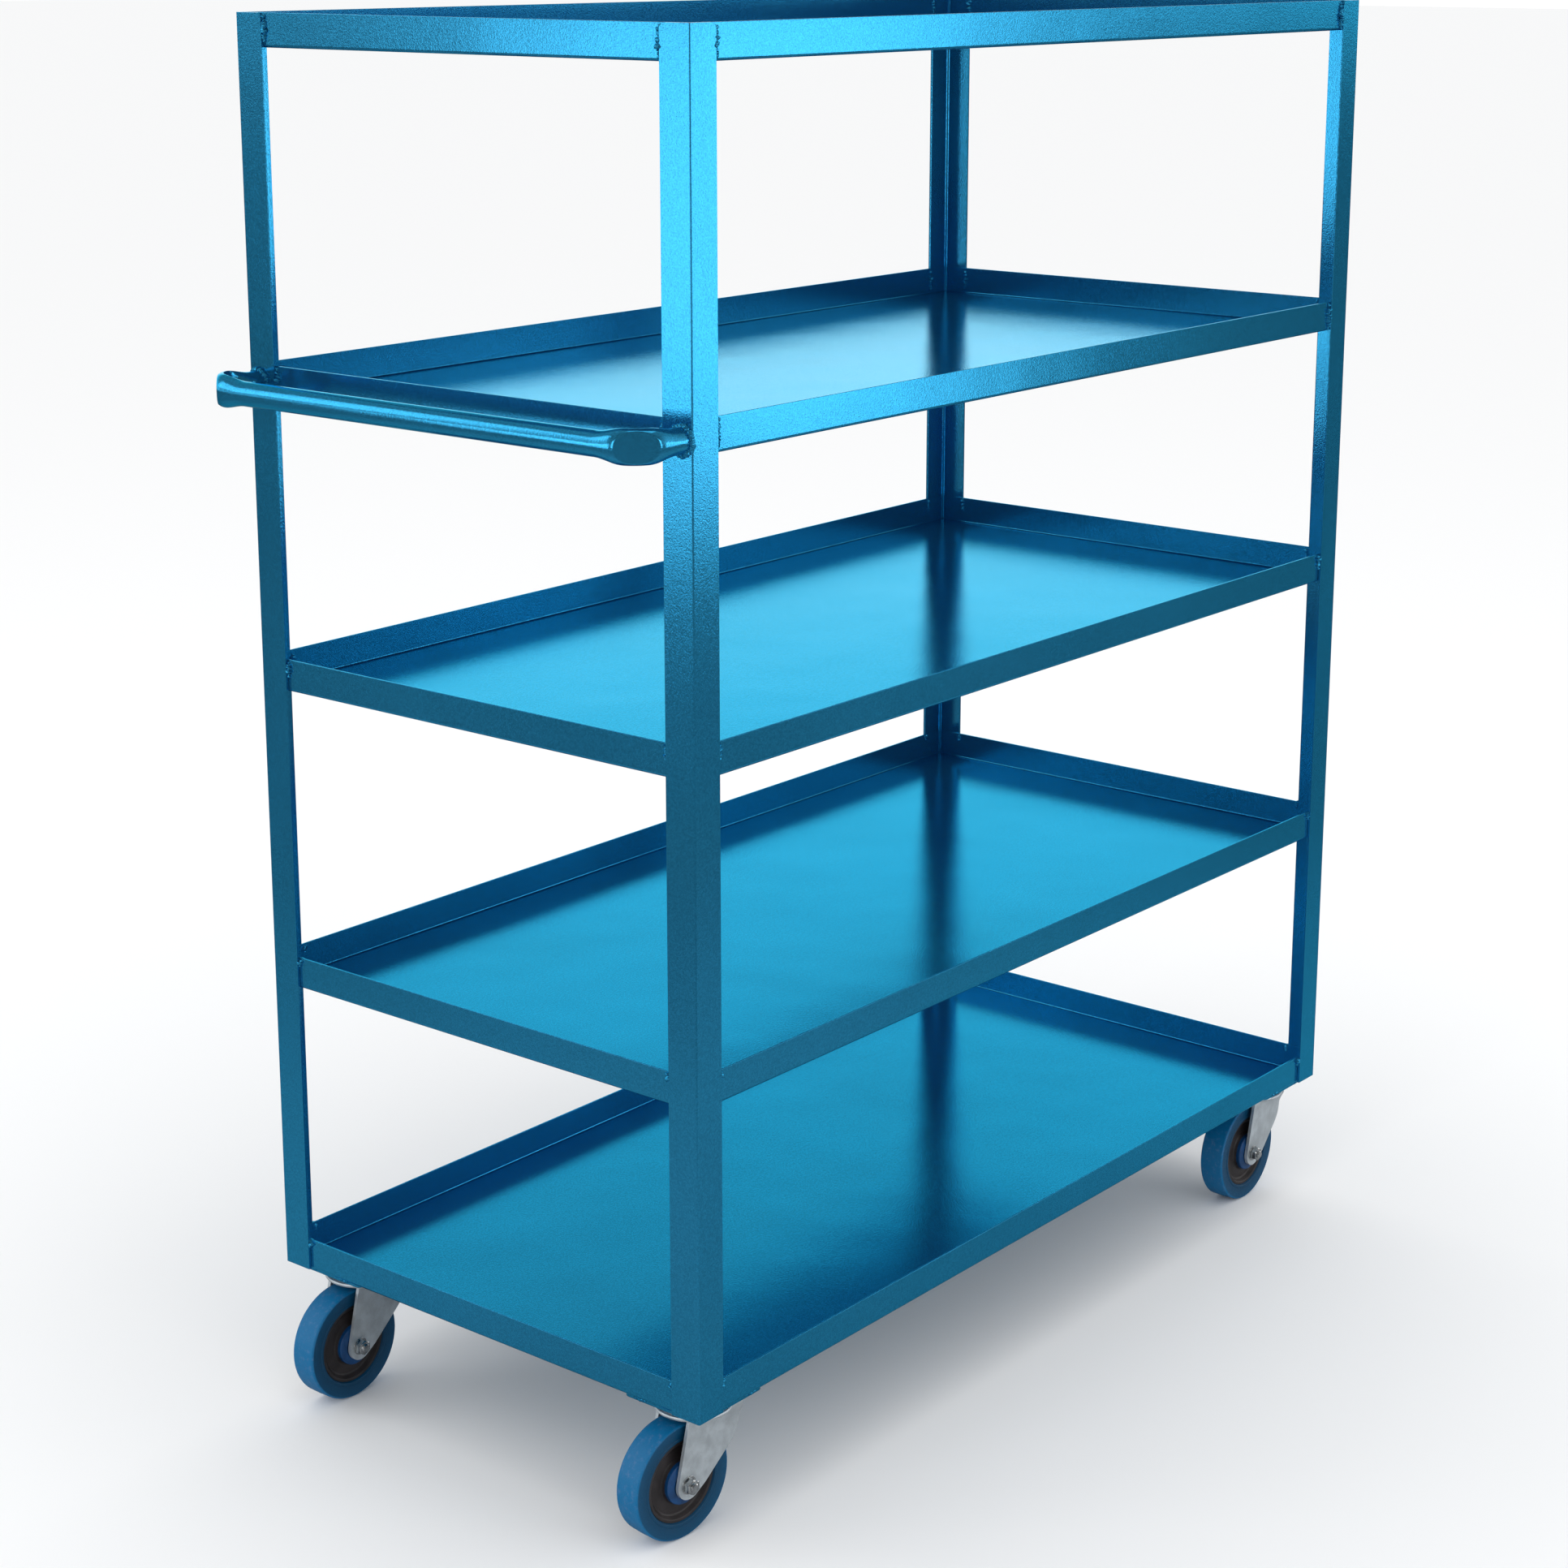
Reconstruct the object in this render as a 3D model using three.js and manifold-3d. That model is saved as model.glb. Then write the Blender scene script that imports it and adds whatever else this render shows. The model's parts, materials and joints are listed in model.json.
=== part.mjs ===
// Five-shelf welded steel stock cart on four swivel casters.
// Millimetres, +Z up. The cart is pushed along +X, with its handle at the -X end. The origin is on the
// floor, at the centre of the cart's footprint with the handle counted in.
import * as THREE from "three";
import { mergeVertices } from "three/addons/utils/BufferGeometryUtils.js";
import Module from "manifold-3d";

// Deck and posts
const DECK_LENGTH = 1226; // over the posts, along X
const DECK_WIDTH = 610; // over the posts, along Y
const POST_LEG = 37; // width of each leg of the angle iron
const POST_WALL = 3.2;
const POST_CORNER = 7; // rounding at the top of each leg
const TRAY_LIP = 35; // full height of a tray, from its underside to its lip
const TRAY_SHEET = 1.9;
const TRAY_CORNER = 4;
const TRAY_PITCHES = [330, 333, 313, 359]; // from the lowest tray up
const TRAY_NAMES = ["bottom_tray", "lower_tray", "middle_tray", "upper_tray", "top_tray"];
const HANDLE_TRAY = 3; // the handle is level with this tray, counted from 0
const FIT_GAP = 0.3; // clearance left between pieces that touch

// Push handle
const TUBE_DIAMETER = 25.4;
const TUBE_WALL = 1.65;
const HANDLE_REACH = 62; // from the posts to the middle of the tube
const HANDLE_DROP = 19; // from the tray's lip down to the middle of the tube
const HANDLE_INSET = 13; // from the side of the cart to the middle of each arm
const BEND_RADIUS = 27;
const CRUSHED_HEIGHT = 34.5; // height of the tube where the bend has flattened it
const CRUSHED_THICKNESS = 11;
const CRUSH_SPREAD = 34; // length over which the tube returns to round

// Casters
const MOUNT_HEIGHT = 152.4;
const CASTER_INSET = 59; // from the sides of the deck to the swivel axis
const TRAIL = 30; // from the swivel axis to the axle
const WHEEL_DIAMETER = 127;
const TREAD_WIDTH = 32;
const PLATE_SIZE = 102;
const PLATE_THICKNESS = 4.5;
const PLATE_HOLE = 10;
const PLATE_HOLE_INSET = 12;
const RACE_RADIUS = 30;
const BALL_DIAMETER = 8.8;
const CROWN_RADIUS = 42;
const CROWN_THICKNESS = 4.5;
const LEG_SPACING = 41; // between the inner faces of the fork legs
const LEG_THICKNESS = 4;
const LEG_END_RADIUS = 17.5;
const KINGPIN_DIAMETER = 12;
const KINGPIN_NUT = 24; // across the flats
const AXLE_DIAMETER = 9.5;
const AXLE_HEX = 15; // across the flats of its head and nut
const AXLE_HEAD = 6;
const AXLE_NUT = 8;
const AXLE_END = 3; // thread beyond the nut
const SLEEVE_DIAMETER = 15.8;
const BEARING_DIAMETER = 23.6;
const BEARING_LENGTH = 36;
const HUB_RADIUS = 22;
const HUB_LENGTH = 36.6;
const CORE_RADIUS = 45;
const CAP_THICKNESS = 1.4;
const WHEEL_SEGMENTS = 28;
const ROUND_SEGMENTS = 16;

// Sizes that follow from the ones above
const HANDLE_OVERHANG = HANDLE_REACH + TUBE_DIAMETER / 2;
const DECK_CENTRE = HANDLE_OVERHANG / 2;
const WHEEL_RADIUS = WHEEL_DIAMETER / 2;
const PLATE_UNDERSIDE = MOUNT_HEIGHT - FIT_GAP - PLATE_THICKNESS;
const BALL_HEIGHT = PLATE_UNDERSIDE - FIT_GAP - BALL_DIAMETER / 2;
const CROWN_TOP = BALL_HEIGHT - BALL_DIAMETER / 2 - FIT_GAP;
const CROWN_UNDERSIDE = CROWN_TOP - CROWN_THICKNESS;
const FORK_WIDTH = LEG_SPACING + 2 * LEG_THICKNESS;
const TRAY_BASES = TRAY_PITCHES.reduce((bases, pitch) => [...bases, bases.at(-1) + pitch], [MOUNT_HEIGHT]);
const POST_TOP = TRAY_BASES.at(-1) + TRAY_LIP;

const BLUE_PAINT = new THREE.MeshStandardMaterial({ color: 0x1178a8, roughness: 0.22, metalness: 0.5 });
const ZINC = new THREE.MeshStandardMaterial({ color: 0xaab8c0, roughness: 0.38, metalness: 0.9 });
const STEEL = new THREE.MeshStandardMaterial({ color: 0x9a9d9f, roughness: 0.3, metalness: 1 });
const BLUE_RUBBER = new THREE.MeshStandardMaterial({ color: 0x0a5e9c, roughness: 0.6, metalness: 0 });
const DARK_NYLON = new THREE.MeshStandardMaterial({ color: 0x2b2a2e, roughness: 0.5, metalness: 0 });
const BLUE_NYLON = new THREE.MeshStandardMaterial({ color: 0x124f8c, roughness: 0.45, metalness: 0 });

const wasm = await Module();
wasm.setup();

// The merged, position-only form of a geometry, with its faces turned to point out.
function closed(geometry) {
  const bare = geometry.clone();
  bare.deleteAttribute("normal");
  bare.deleteAttribute("uv");
  const merged = mergeVertices(bare, 1e-4);
  const triangles = merged.index.array;
  const at = (index) => new THREE.Vector3().fromBufferAttribute(merged.attributes.position, index);
  let volume = 0;
  for (let i = 0; i < triangles.length; i += 3) {
    volume += at(triangles[i]).dot(at(triangles[i + 1]).cross(at(triangles[i + 2])));
  }
  if (volume < 0) triangles.reverse();
  return merged;
}

function solid(geometry) {
  const merged = closed(geometry);
  return new wasm.Manifold(
    new wasm.Mesh({
      numProp: 3,
      vertProperties: merged.attributes.position.array,
      triVerts: new Uint32Array(merged.index.array),
    }),
  );
}

function geometryOf(body) {
  const { vertProperties, triVerts } = body.getMesh();
  const geometry = new THREE.BufferGeometry();
  geometry.setAttribute("position", new THREE.BufferAttribute(vertProperties, 3));
  geometry.setIndex(new THREE.BufferAttribute(triVerts, 1));
  geometry.computeVertexNormals();
  return geometry;
}

function mesh(name, geometry, material) {
  const made = new THREE.Mesh(geometry, material);
  made.name = name;
  return made;
}

// A rectangle about the origin with rounded corners.
function roundedRectangle(width, height, radius) {
  const x = width / 2;
  const y = height / 2;
  const shape = new THREE.Shape();
  shape.moveTo(x, -y + radius);
  shape.absarc(x - radius, y - radius, radius, 0, Math.PI / 2, false);
  shape.absarc(-x + radius, y - radius, radius, Math.PI / 2, Math.PI, false);
  shape.absarc(-x + radius, -y + radius, radius, Math.PI, 1.5 * Math.PI, false);
  shape.absarc(x - radius, -y + radius, radius, 1.5 * Math.PI, 2 * Math.PI, false);
  return shape;
}

function extruded(shape, depth, curveSegments = 3) {
  return new THREE.ExtrudeGeometry(shape, { depth, curveSegments, bevelEnabled: false });
}

// A cylinder standing on z = bottom.
function rod(radius, bottom, top, segments = ROUND_SEGMENTS) {
  const geometry = new THREE.CylinderGeometry(radius, radius, top - bottom, segments);
  return geometry.rotateX(Math.PI / 2).translate(0, 0, (bottom + top) / 2);
}

// A cylinder or hexagon along the axle, from y = from to y = to.
function axleRod(radius, from, to, segments = ROUND_SEGMENTS) {
  return new THREE.CylinderGeometry(radius, radius, to - from, segments).translate(0, (from + to) / 2, 0);
}

const hexRadius = (flats) => flats / Math.sqrt(3);

// A ring about Y from a list of [radius, y] points, which this closes.
function ring(points, segments) {
  const profile = [...points, points[0]].map(([radius, y]) => new THREE.Vector2(radius, y));
  return closed(new THREE.LatheGeometry(profile, segments));
}

function tube(outer, inner, length, segments) {
  const half = length / 2;
  const corners = [
    [inner, -half],
    [outer, -half],
    [outer, half],
    [inner, half],
  ];
  return ring(corners, segments);
}

// One leg of an angle post: a strip in the XZ plane, rounded at the top of its free edge.
function postLeg() {
  const height = POST_TOP - MOUNT_HEIGHT;
  const strip = new THREE.Shape();
  strip.moveTo(0, 0);
  strip.lineTo(POST_LEG, 0);
  strip.lineTo(POST_LEG, height - POST_CORNER);
  strip.absarc(POST_LEG - POST_CORNER, height - POST_CORNER, POST_CORNER, 0, Math.PI / 2, false);
  strip.lineTo(0, height);
  return extruded(strip, POST_WALL).rotateX(Math.PI / 2).translate(0, POST_WALL, 0);
}

// An angle post with its outside corner at the origin and its legs along +X and +Y.
function anglePost() {
  const along = solid(postLeg());
  const across = solid(postLeg().rotateZ(Math.PI / 2).translate(POST_WALL, 0, 0));
  return geometryOf(along.add(across));
}

function addPosts(cart) {
  const corners = { rear_right: [-1, -1], front_right: [1, -1], front_left: [1, 1], rear_left: [-1, 1] };
  Object.entries(corners).forEach(([name, [alongX, alongY]], quarter) => {
    const post = mesh("post_" + name, anglePost(), BLUE_PAINT);
    post.position.set((alongX * DECK_LENGTH) / 2, (alongY * DECK_WIDTH) / 2, MOUNT_HEIGHT);
    post.rotation.z = (quarter * Math.PI) / 2;
    cart.add(post);
  });
}

// An open-topped pan with its underside at z = 0.
function pan() {
  const length = DECK_LENGTH - 2 * (POST_WALL + FIT_GAP);
  const width = DECK_WIDTH - 2 * (POST_WALL + FIT_GAP);
  const outside = roundedRectangle(length, width, TRAY_CORNER);
  const inside = roundedRectangle(length - 2 * TRAY_SHEET, width - 2 * TRAY_SHEET, TRAY_CORNER - TRAY_SHEET);
  const hollow = extruded(inside, TRAY_LIP).translate(0, 0, TRAY_SHEET);
  return geometryOf(solid(extruded(outside, TRAY_LIP)).subtract(solid(hollow)));
}

function addTrays(cart) {
  TRAY_NAMES.forEach((name, index) => {
    const tray = mesh(name, pan(), BLUE_PAINT);
    tray.position.z = TRAY_BASES[index];
    cart.add(tray);
  });
}

// Points round a flattened tube section, the same distance apart in angle, as [across, up].
function tubeSection(across, up, points) {
  const roundness = 2.35; // slightly squarer than an ellipse, as pressed tube is
  return Array.from({ length: points }, (_, i) => {
    const angle = (2 * Math.PI * i) / points;
    const share = (value) => Math.sign(value) * Math.abs(value) ** (2 / roundness);
    const blend = THREE.MathUtils.clamp((up - across) / (CRUSHED_HEIGHT - CRUSHED_THICKNESS), 0, 1);
    const square = (value) => THREE.MathUtils.lerp(value, share(value), blend);
    return [(across / 2) * square(Math.cos(angle)), (up / 2) * square(Math.sin(angle))];
  });
}

// Half of the handle's centre line, from the post to the middle of the grip, as stations that hold a
// place, the direction across the tube and the distance to the middle of the bend.
function halfRoute() {
  const armLength = HANDLE_REACH - FIT_GAP - BEND_RADIUS;
  const quarterArc = (BEND_RADIUS * Math.PI) / 2;
  const halfGrip = DECK_WIDTH / 2 - HANDLE_INSET - BEND_RADIUS;
  const distances = [0, 0.45, 0.8].map((share) => share * armLength);
  for (let i = 0; i <= 6; i += 1) distances.push(armLength + (quarterArc * i) / 6);
  for (const step of [9, 19, 30, 42]) distances.push(armLength + quarterArc + step);
  distances.push(armLength + quarterArc + halfGrip);
  return distances.map((distance) => {
    const angle = THREE.MathUtils.clamp((distance - armLength) / BEND_RADIUS, 0, Math.PI / 2);
    const x = -FIT_GAP - Math.min(distance, armLength) - BEND_RADIUS * Math.sin(angle);
    const past = Math.max(0, distance - armLength - quarterArc);
    const y = BEND_RADIUS * (1 - Math.cos(angle)) + past;
    const fromBend = Math.abs(distance - armLength - quarterArc / 2);
    return { x, y, across: [-Math.sin(angle), -Math.cos(angle)], fromBend };
  });
}

// The tube's height and thickness at a distance from the middle of the bend.
function crushed(fromBend) {
  const reach = (BEND_RADIUS * Math.PI) / 8;
  const share = 1 - THREE.MathUtils.smoothstep(fromBend, reach, reach + CRUSH_SPREAD);
  return {
    up: THREE.MathUtils.lerp(TUBE_DIAMETER, CRUSHED_HEIGHT, share),
    across: THREE.MathUtils.lerp(TUBE_DIAMETER, CRUSHED_THICKNESS, share),
  };
}

// The handle: one bent tube, open where its ends meet the posts.
function handleTube() {
  const points = 14;
  const inset = DECK_WIDTH / 2 - HANDLE_INSET;
  const half = halfRoute();
  const mirrored = half.slice(0, -1).reverse();
  const near = half.map((s) => ({ ...s, y: s.y - inset }));
  const far = mirrored.map((s) => ({ ...s, y: inset - s.y, across: [s.across[0], -s.across[1]] }));
  const stations = [...near, ...far];
  const vertices = [];
  for (const wall of [0, TUBE_WALL]) {
    for (const { x, y, across, fromBend } of stations) {
      const size = crushed(fromBend);
      for (const [side, up] of tubeSection(size.across - 2 * wall, size.up - 2 * wall, points)) {
        vertices.push(x + across[0] * side, y + across[1] * side, up);
      }
    }
  }
  const layer = stations.length * points;
  const faces = [];
  const quad = (a, b, c, d) => faces.push(a, b, c, a, c, d);
  for (let i = 0; i < points; i += 1) {
    const next = (i + 1) % points;
    for (let s = 0; s < stations.length - 1; s += 1) {
      const here = s * points;
      const there = here + points;
      quad(here + i, here + next, there + next, there + i);
      quad(layer + here + next, layer + here + i, layer + there + i, layer + there + next);
    }
    const end = layer - points;
    quad(next, i, layer + i, layer + next);
    quad(end + i, end + next, layer + end + next, layer + end + i);
  }
  const geometry = new THREE.BufferGeometry();
  geometry.setAttribute("position", new THREE.Float32BufferAttribute(vertices, 3));
  geometry.setIndex(faces);
  return closed(geometry);
}

function addHandle(cart) {
  const handle = mesh("push_handle", handleTube(), BLUE_PAINT);
  handle.position.set(-DECK_LENGTH / 2, 0, TRAY_BASES[HANDLE_TRAY] + TRAY_LIP - HANDLE_DROP);
  cart.add(handle);
}

// The plate that is welded under the bottom tray, with a bolt hole in each corner.
function casterPlate() {
  let plate = solid(extruded(roundedRectangle(PLATE_SIZE, PLATE_SIZE, 8), PLATE_THICKNESS));
  const hole = PLATE_SIZE / 2 - PLATE_HOLE_INSET;
  for (const [x, y] of [[1, 1], [1, -1], [-1, 1], [-1, -1]]) {
    const bore = rod(PLATE_HOLE / 2, -1, PLATE_THICKNESS + 1, 10).translate(x * hole, y * hole, 0);
    plate = plate.subtract(solid(bore));
  }
  return geometryOf(plate).translate(0, 0, PLATE_UNDERSIDE);
}

// The pin that the fork swivels on, with its nut under the crown.
function kingpin() {
  const nutTop = CROWN_UNDERSIDE - FIT_GAP;
  const nutHeight = 6.2;
  const shank = rod(KINGPIN_DIAMETER / 2, nutTop - nutHeight, PLATE_UNDERSIDE - FIT_GAP);
  const nut = rod(hexRadius(KINGPIN_NUT), nutTop - nutHeight + 0.6, nutTop, 6);
  return geometryOf(solid(shank).add(solid(nut)));
}

// The balls between the plate and the crown, as one ring.
function ballRing() {
  const sides = 8;
  const points = Array.from({ length: sides }, (_, i) => {
    const angle = (2 * Math.PI * (i + 0.5)) / sides;
    const radius = BALL_DIAMETER / 2 / Math.cos(Math.PI / sides);
    return [RACE_RADIUS + radius * Math.cos(angle), radius * Math.sin(angle)];
  });
  return ring(points, ROUND_SEGMENTS).rotateX(Math.PI / 2).translate(0, 0, BALL_HEIGHT);
}

// Side view of a fork leg: wide at the crown and rounded round the axle.
function forkLeg() {
  const front = CROWN_RADIUS + 2;
  const back = -CROWN_RADIUS + 10;
  const lowestTangent = THREE.MathUtils.degToRad(302);
  const leg = new THREE.Shape();
  leg.moveTo(back, CROWN_TOP);
  leg.lineTo(-TRAIL - LEG_END_RADIUS, WHEEL_RADIUS);
  leg.absarc(-TRAIL, WHEEL_RADIUS, LEG_END_RADIUS, Math.PI, lowestTangent, false);
  leg.quadraticCurveTo(front - 10, WHEEL_RADIUS + 20, front, CROWN_UNDERSIDE - 8);
  leg.lineTo(front, CROWN_TOP);
  return extruded(leg, LEG_THICKNESS, 6).rotateX(Math.PI / 2).translate(0, LEG_THICKNESS / 2, 0);
}

function fork() {
  const legOffset = (LEG_SPACING + LEG_THICKNESS) / 2;
  const crownLength = 2 * CROWN_RADIUS - 8;
  const bridge = new THREE.BoxGeometry(crownLength, FORK_WIDTH, CROWN_THICKNESS);
  bridge.translate(CROWN_RADIUS + 2 - crownLength / 2, 0, CROWN_TOP - CROWN_THICKNESS / 2);
  const axleHole = axleRod(AXLE_DIAMETER / 2 + FIT_GAP, -FORK_WIDTH, FORK_WIDTH);
  axleHole.translate(-TRAIL, 0, WHEEL_RADIUS);
  const pinHole = rod(KINGPIN_DIAMETER / 2 + FIT_GAP, CROWN_UNDERSIDE - 1, CROWN_TOP + 1);
  return geometryOf(
    solid(rod(CROWN_RADIUS, CROWN_UNDERSIDE, CROWN_TOP, 32))
      .add(solid(bridge))
      .add(solid(forkLeg().translate(0, legOffset, 0)))
      .add(solid(forkLeg().translate(0, -legOffset, 0)))
      .subtract(solid(axleHole))
      .subtract(solid(pinHole)),
  );
}

// The axle bolt, with its head on the +Y side of the fork.
function axleBolt() {
  const face = FORK_WIDTH / 2 + FIT_GAP;
  const shank = axleRod(AXLE_DIAMETER / 2, -face - AXLE_NUT - AXLE_END, face + 1);
  const head = axleRod(hexRadius(AXLE_HEX), face, face + AXLE_HEAD, 6);
  return geometryOf(solid(shank).add(solid(head)));
}

function axleNut() {
  const face = FORK_WIDTH / 2 + FIT_GAP;
  const body = axleRod(hexRadius(AXLE_HEX), -face - AXLE_NUT, -face, 6);
  const bore = axleRod(AXLE_DIAMETER / 2 + FIT_GAP, -face - AXLE_NUT - 1, 1 - face);
  return geometryOf(solid(body).subtract(solid(bore)));
}

// The moulded wheel centre: a rim and a hub joined by a recessed web.
function wheelCore() {
  const bore = BEARING_DIAMETER / 2 + FIT_GAP;
  const hub = HUB_LENGTH / 2;
  const rim = TREAD_WIDTH / 2 - 1.5;
  const web = 7;
  const side = [
    [bore, -hub],
    [HUB_RADIUS, -hub],
    [HUB_RADIUS + 2, -web],
    [CORE_RADIUS - 6, -web],
    [CORE_RADIUS - 4, -rim],
    [CORE_RADIUS, -rim],
  ];
  const otherSide = side.map(([radius, y]) => [radius, -y]).reverse();
  return ring([...side, ...otherSide], WHEEL_SEGMENTS);
}

function tyre() {
  const bed = CORE_RADIUS + FIT_GAP / Math.cos(Math.PI / WHEEL_SEGMENTS);
  const half = TREAD_WIDTH / 2;
  const side = [
    [bed, -half + 1.5],
    [WHEEL_RADIUS - 10, -half],
    [WHEEL_RADIUS - 3, -half + 1.5],
    [WHEEL_RADIUS, -half + 6],
  ];
  const otherSide = side.map(([radius, y]) => [radius, -y]).reverse();
  return ring([...side, ...otherSide], WHEEL_SEGMENTS);
}

// The disc that covers each end of the hub.
function hubCap() {
  return tube(HUB_RADIUS - 0.5, SLEEVE_DIAMETER / 2 + 2 * FIT_GAP, CAP_THICKNESS, ROUND_SEGMENTS);
}

function wheel(corner) {
  const group = new THREE.Group();
  const bearingBore = SLEEVE_DIAMETER / 2 + FIT_GAP;
  const capPlace = HUB_LENGTH / 2 + FIT_GAP + CAP_THICKNESS / 2;
  const bearing = tube(BEARING_DIAMETER / 2, bearingBore, BEARING_LENGTH, ROUND_SEGMENTS);
  group.add(mesh("wheel_core_" + corner, wheelCore(), DARK_NYLON));
  group.add(mesh("tyre_" + corner, tyre(), BLUE_RUBBER));
  group.add(mesh("wheel_bearing_" + corner, bearing, STEEL));
  for (const [side, direction] of [["outer", -1], ["inner", 1]]) {
    const cap = mesh("hub_cap_" + side + "_" + corner, hubCap(), BLUE_NYLON);
    cap.position.y = direction * capPlace;
    group.add(cap);
  }
  return group;
}

// Everything that swivels: the fork, the balls, the axle and the wheel.
function swivel(corner) {
  const group = new THREE.Group();
  group.add(mesh("fork_" + corner, fork(), ZINC));
  group.add(mesh("swivel_balls_" + corner, ballRing(), STEEL));
  const axle = new THREE.Group();
  axle.position.set(-TRAIL, 0, WHEEL_RADIUS);
  const sleeve = tube(
    SLEEVE_DIAMETER / 2,
    AXLE_DIAMETER / 2 + FIT_GAP,
    LEG_SPACING - 2 * FIT_GAP,
    ROUND_SEGMENTS,
  );
  axle.add(mesh("axle_bolt_" + corner, axleBolt(), ZINC));
  axle.add(mesh("axle_nut_" + corner, axleNut(), ZINC));
  axle.add(mesh("axle_sleeve_" + corner, sleeve, STEEL));
  axle.add(wheel(corner));
  group.add(axle);
  return group;
}

// Each caster trails towards the handle, one of them swung a little to the side.
function addCasters(cart) {
  const casters = {
    rear_right: { side: [-1, -1], swing: -6.5 },
    rear_left: { side: [-1, 1], swing: 0 },
    front_right: { side: [1, -1], swing: 0 },
    front_left: { side: [1, 1], swing: 0 },
  };
  for (const [corner, { side, swing }] of Object.entries(casters)) {
    const caster = new THREE.Group();
    caster.position.x = side[0] * (DECK_LENGTH / 2 - CASTER_INSET);
    caster.position.y = side[1] * (DECK_WIDTH / 2 - CASTER_INSET);
    caster.add(mesh("caster_plate_" + corner, casterPlate(), BLUE_PAINT));
    caster.add(mesh("kingpin_" + corner, kingpin(), ZINC));
    const turning = swivel(corner);
    turning.rotation.z = THREE.MathUtils.degToRad(swing);
    caster.add(turning);
    cart.add(caster);
  }
}

const cart = new THREE.Group();
cart.position.x = DECK_CENTRE;
addPosts(cart);
addTrays(cart);
addHandle(cart);
addCasters(cart);

export default cart;
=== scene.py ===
"""Looks for a five-shelf welded stock cart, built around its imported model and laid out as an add-on.

Metres, +Z up. The cart is pushed along +X, with its handle at the -X end. Every position comes from the
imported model's boxes and joints; the settings below hold the finer sizes and the finishes.
"""

import json
import math
import random

import bmesh
import bpy
from mathutils import Matrix, Vector


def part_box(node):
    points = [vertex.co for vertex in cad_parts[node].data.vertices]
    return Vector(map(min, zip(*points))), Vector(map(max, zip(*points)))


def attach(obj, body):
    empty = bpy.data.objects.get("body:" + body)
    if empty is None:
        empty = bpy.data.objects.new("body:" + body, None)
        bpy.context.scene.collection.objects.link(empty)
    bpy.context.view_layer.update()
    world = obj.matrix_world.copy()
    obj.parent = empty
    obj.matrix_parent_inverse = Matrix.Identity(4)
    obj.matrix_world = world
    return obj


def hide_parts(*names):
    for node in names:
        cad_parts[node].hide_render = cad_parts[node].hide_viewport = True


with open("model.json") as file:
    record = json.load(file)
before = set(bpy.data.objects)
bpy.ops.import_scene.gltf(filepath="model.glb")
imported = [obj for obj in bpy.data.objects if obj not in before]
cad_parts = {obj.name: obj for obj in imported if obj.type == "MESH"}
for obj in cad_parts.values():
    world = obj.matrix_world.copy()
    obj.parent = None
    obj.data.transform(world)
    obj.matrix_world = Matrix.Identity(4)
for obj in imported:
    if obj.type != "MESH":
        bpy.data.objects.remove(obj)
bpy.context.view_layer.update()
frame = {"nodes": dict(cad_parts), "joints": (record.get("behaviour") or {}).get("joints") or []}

bl_info = {
    "name": "Shelf cart",
    "version": (1, 0, 0),
    "blender": (4, 5, 0),
    "location": "View3D > Sidebar > Shelf cart",
    "description": "Builds the looks of a welded five-shelf stock cart around its packed model",
    "category": "Object",
}

MM = 0.001
CORNERS = {
    "rear_right": (-1, -1),
    "front_right": (1, -1),
    "front_left": (1, 1),
    "rear_left": (-1, 1),
}
TRAYS = ("bottom_tray", "lower_tray", "middle_tray", "upper_tray", "top_tray")
JOINTS = {joint["name"]: joint for joint in frame["joints"]}
TO_AXLE = Matrix.Rotation(-math.pi / 2, 4, "X")  # turns a shape made about Z so that it lies about Y


# ---------------------------------------------------------------- settings


def length(name, description, default, **limits):
    return bpy.props.FloatProperty(
        name=name, description=description, default=default, unit="LENGTH", precision=5, **limits
    )


def amount(name, description, default, low=0.0, high=1.0):
    return bpy.props.FloatProperty(
        name=name, description=description, default=default, min=low, max=high, subtype="FACTOR"
    )


def colour(name, description, default):
    return bpy.props.FloatVectorProperty(
        name=name, description=description, default=default, min=0, max=1, size=3, subtype="COLOR"
    )


class CartPaint(bpy.types.PropertyGroup):
    base: colour("Paint", "Colour of the metallic enamel seen face on", (0.033, 0.33, 0.6))
    edge: colour("Edge tint", "Colour of the enamel's reflection at a low angle", (0.32, 0.84, 0.97))
    metallic: amount("Metallic", "Share of the enamel's light that mirrors rather than scatters", 0.9)
    roughness: amount("Roughness", "Blur of the reflections in the enamel", 0.11)
    clear: amount("Clear film", "Strength of the clear surface film", 0.02)
    peel_size: length("Orange peel", "Distance between the dimples of the sprayed film", 1.7 * MM)
    peel_depth: length("Peel depth", "Depth of the dimples", 0.085 * MM)


class CartSteel(bpy.types.PropertyGroup):
    leg: length("Post leg", "Width of each leg of the angle posts", 37 * MM)
    wall: length("Post wall", "Thickness of the angle posts", 3.2 * MM)
    heel: length("Heel radius", "Outside corner of the angle", 1.6 * MM)
    fillet: length("Fillet radius", "Inside corner of the angle", 4 * MM)
    leg_top: length("Leg top radius", "Rounding at the top of each leg", 7 * MM)
    sheet: length("Tray sheet", "Thickness of the tray steel", 1.9 * MM)
    fold: length("Fold radius", "Radius of the trays' folds, to the middle of the sheet", 2.5 * MM)
    soft: length("Soft edge", "Rounding that deburring and paint leave on an edge", 0.6 * MM)


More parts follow.
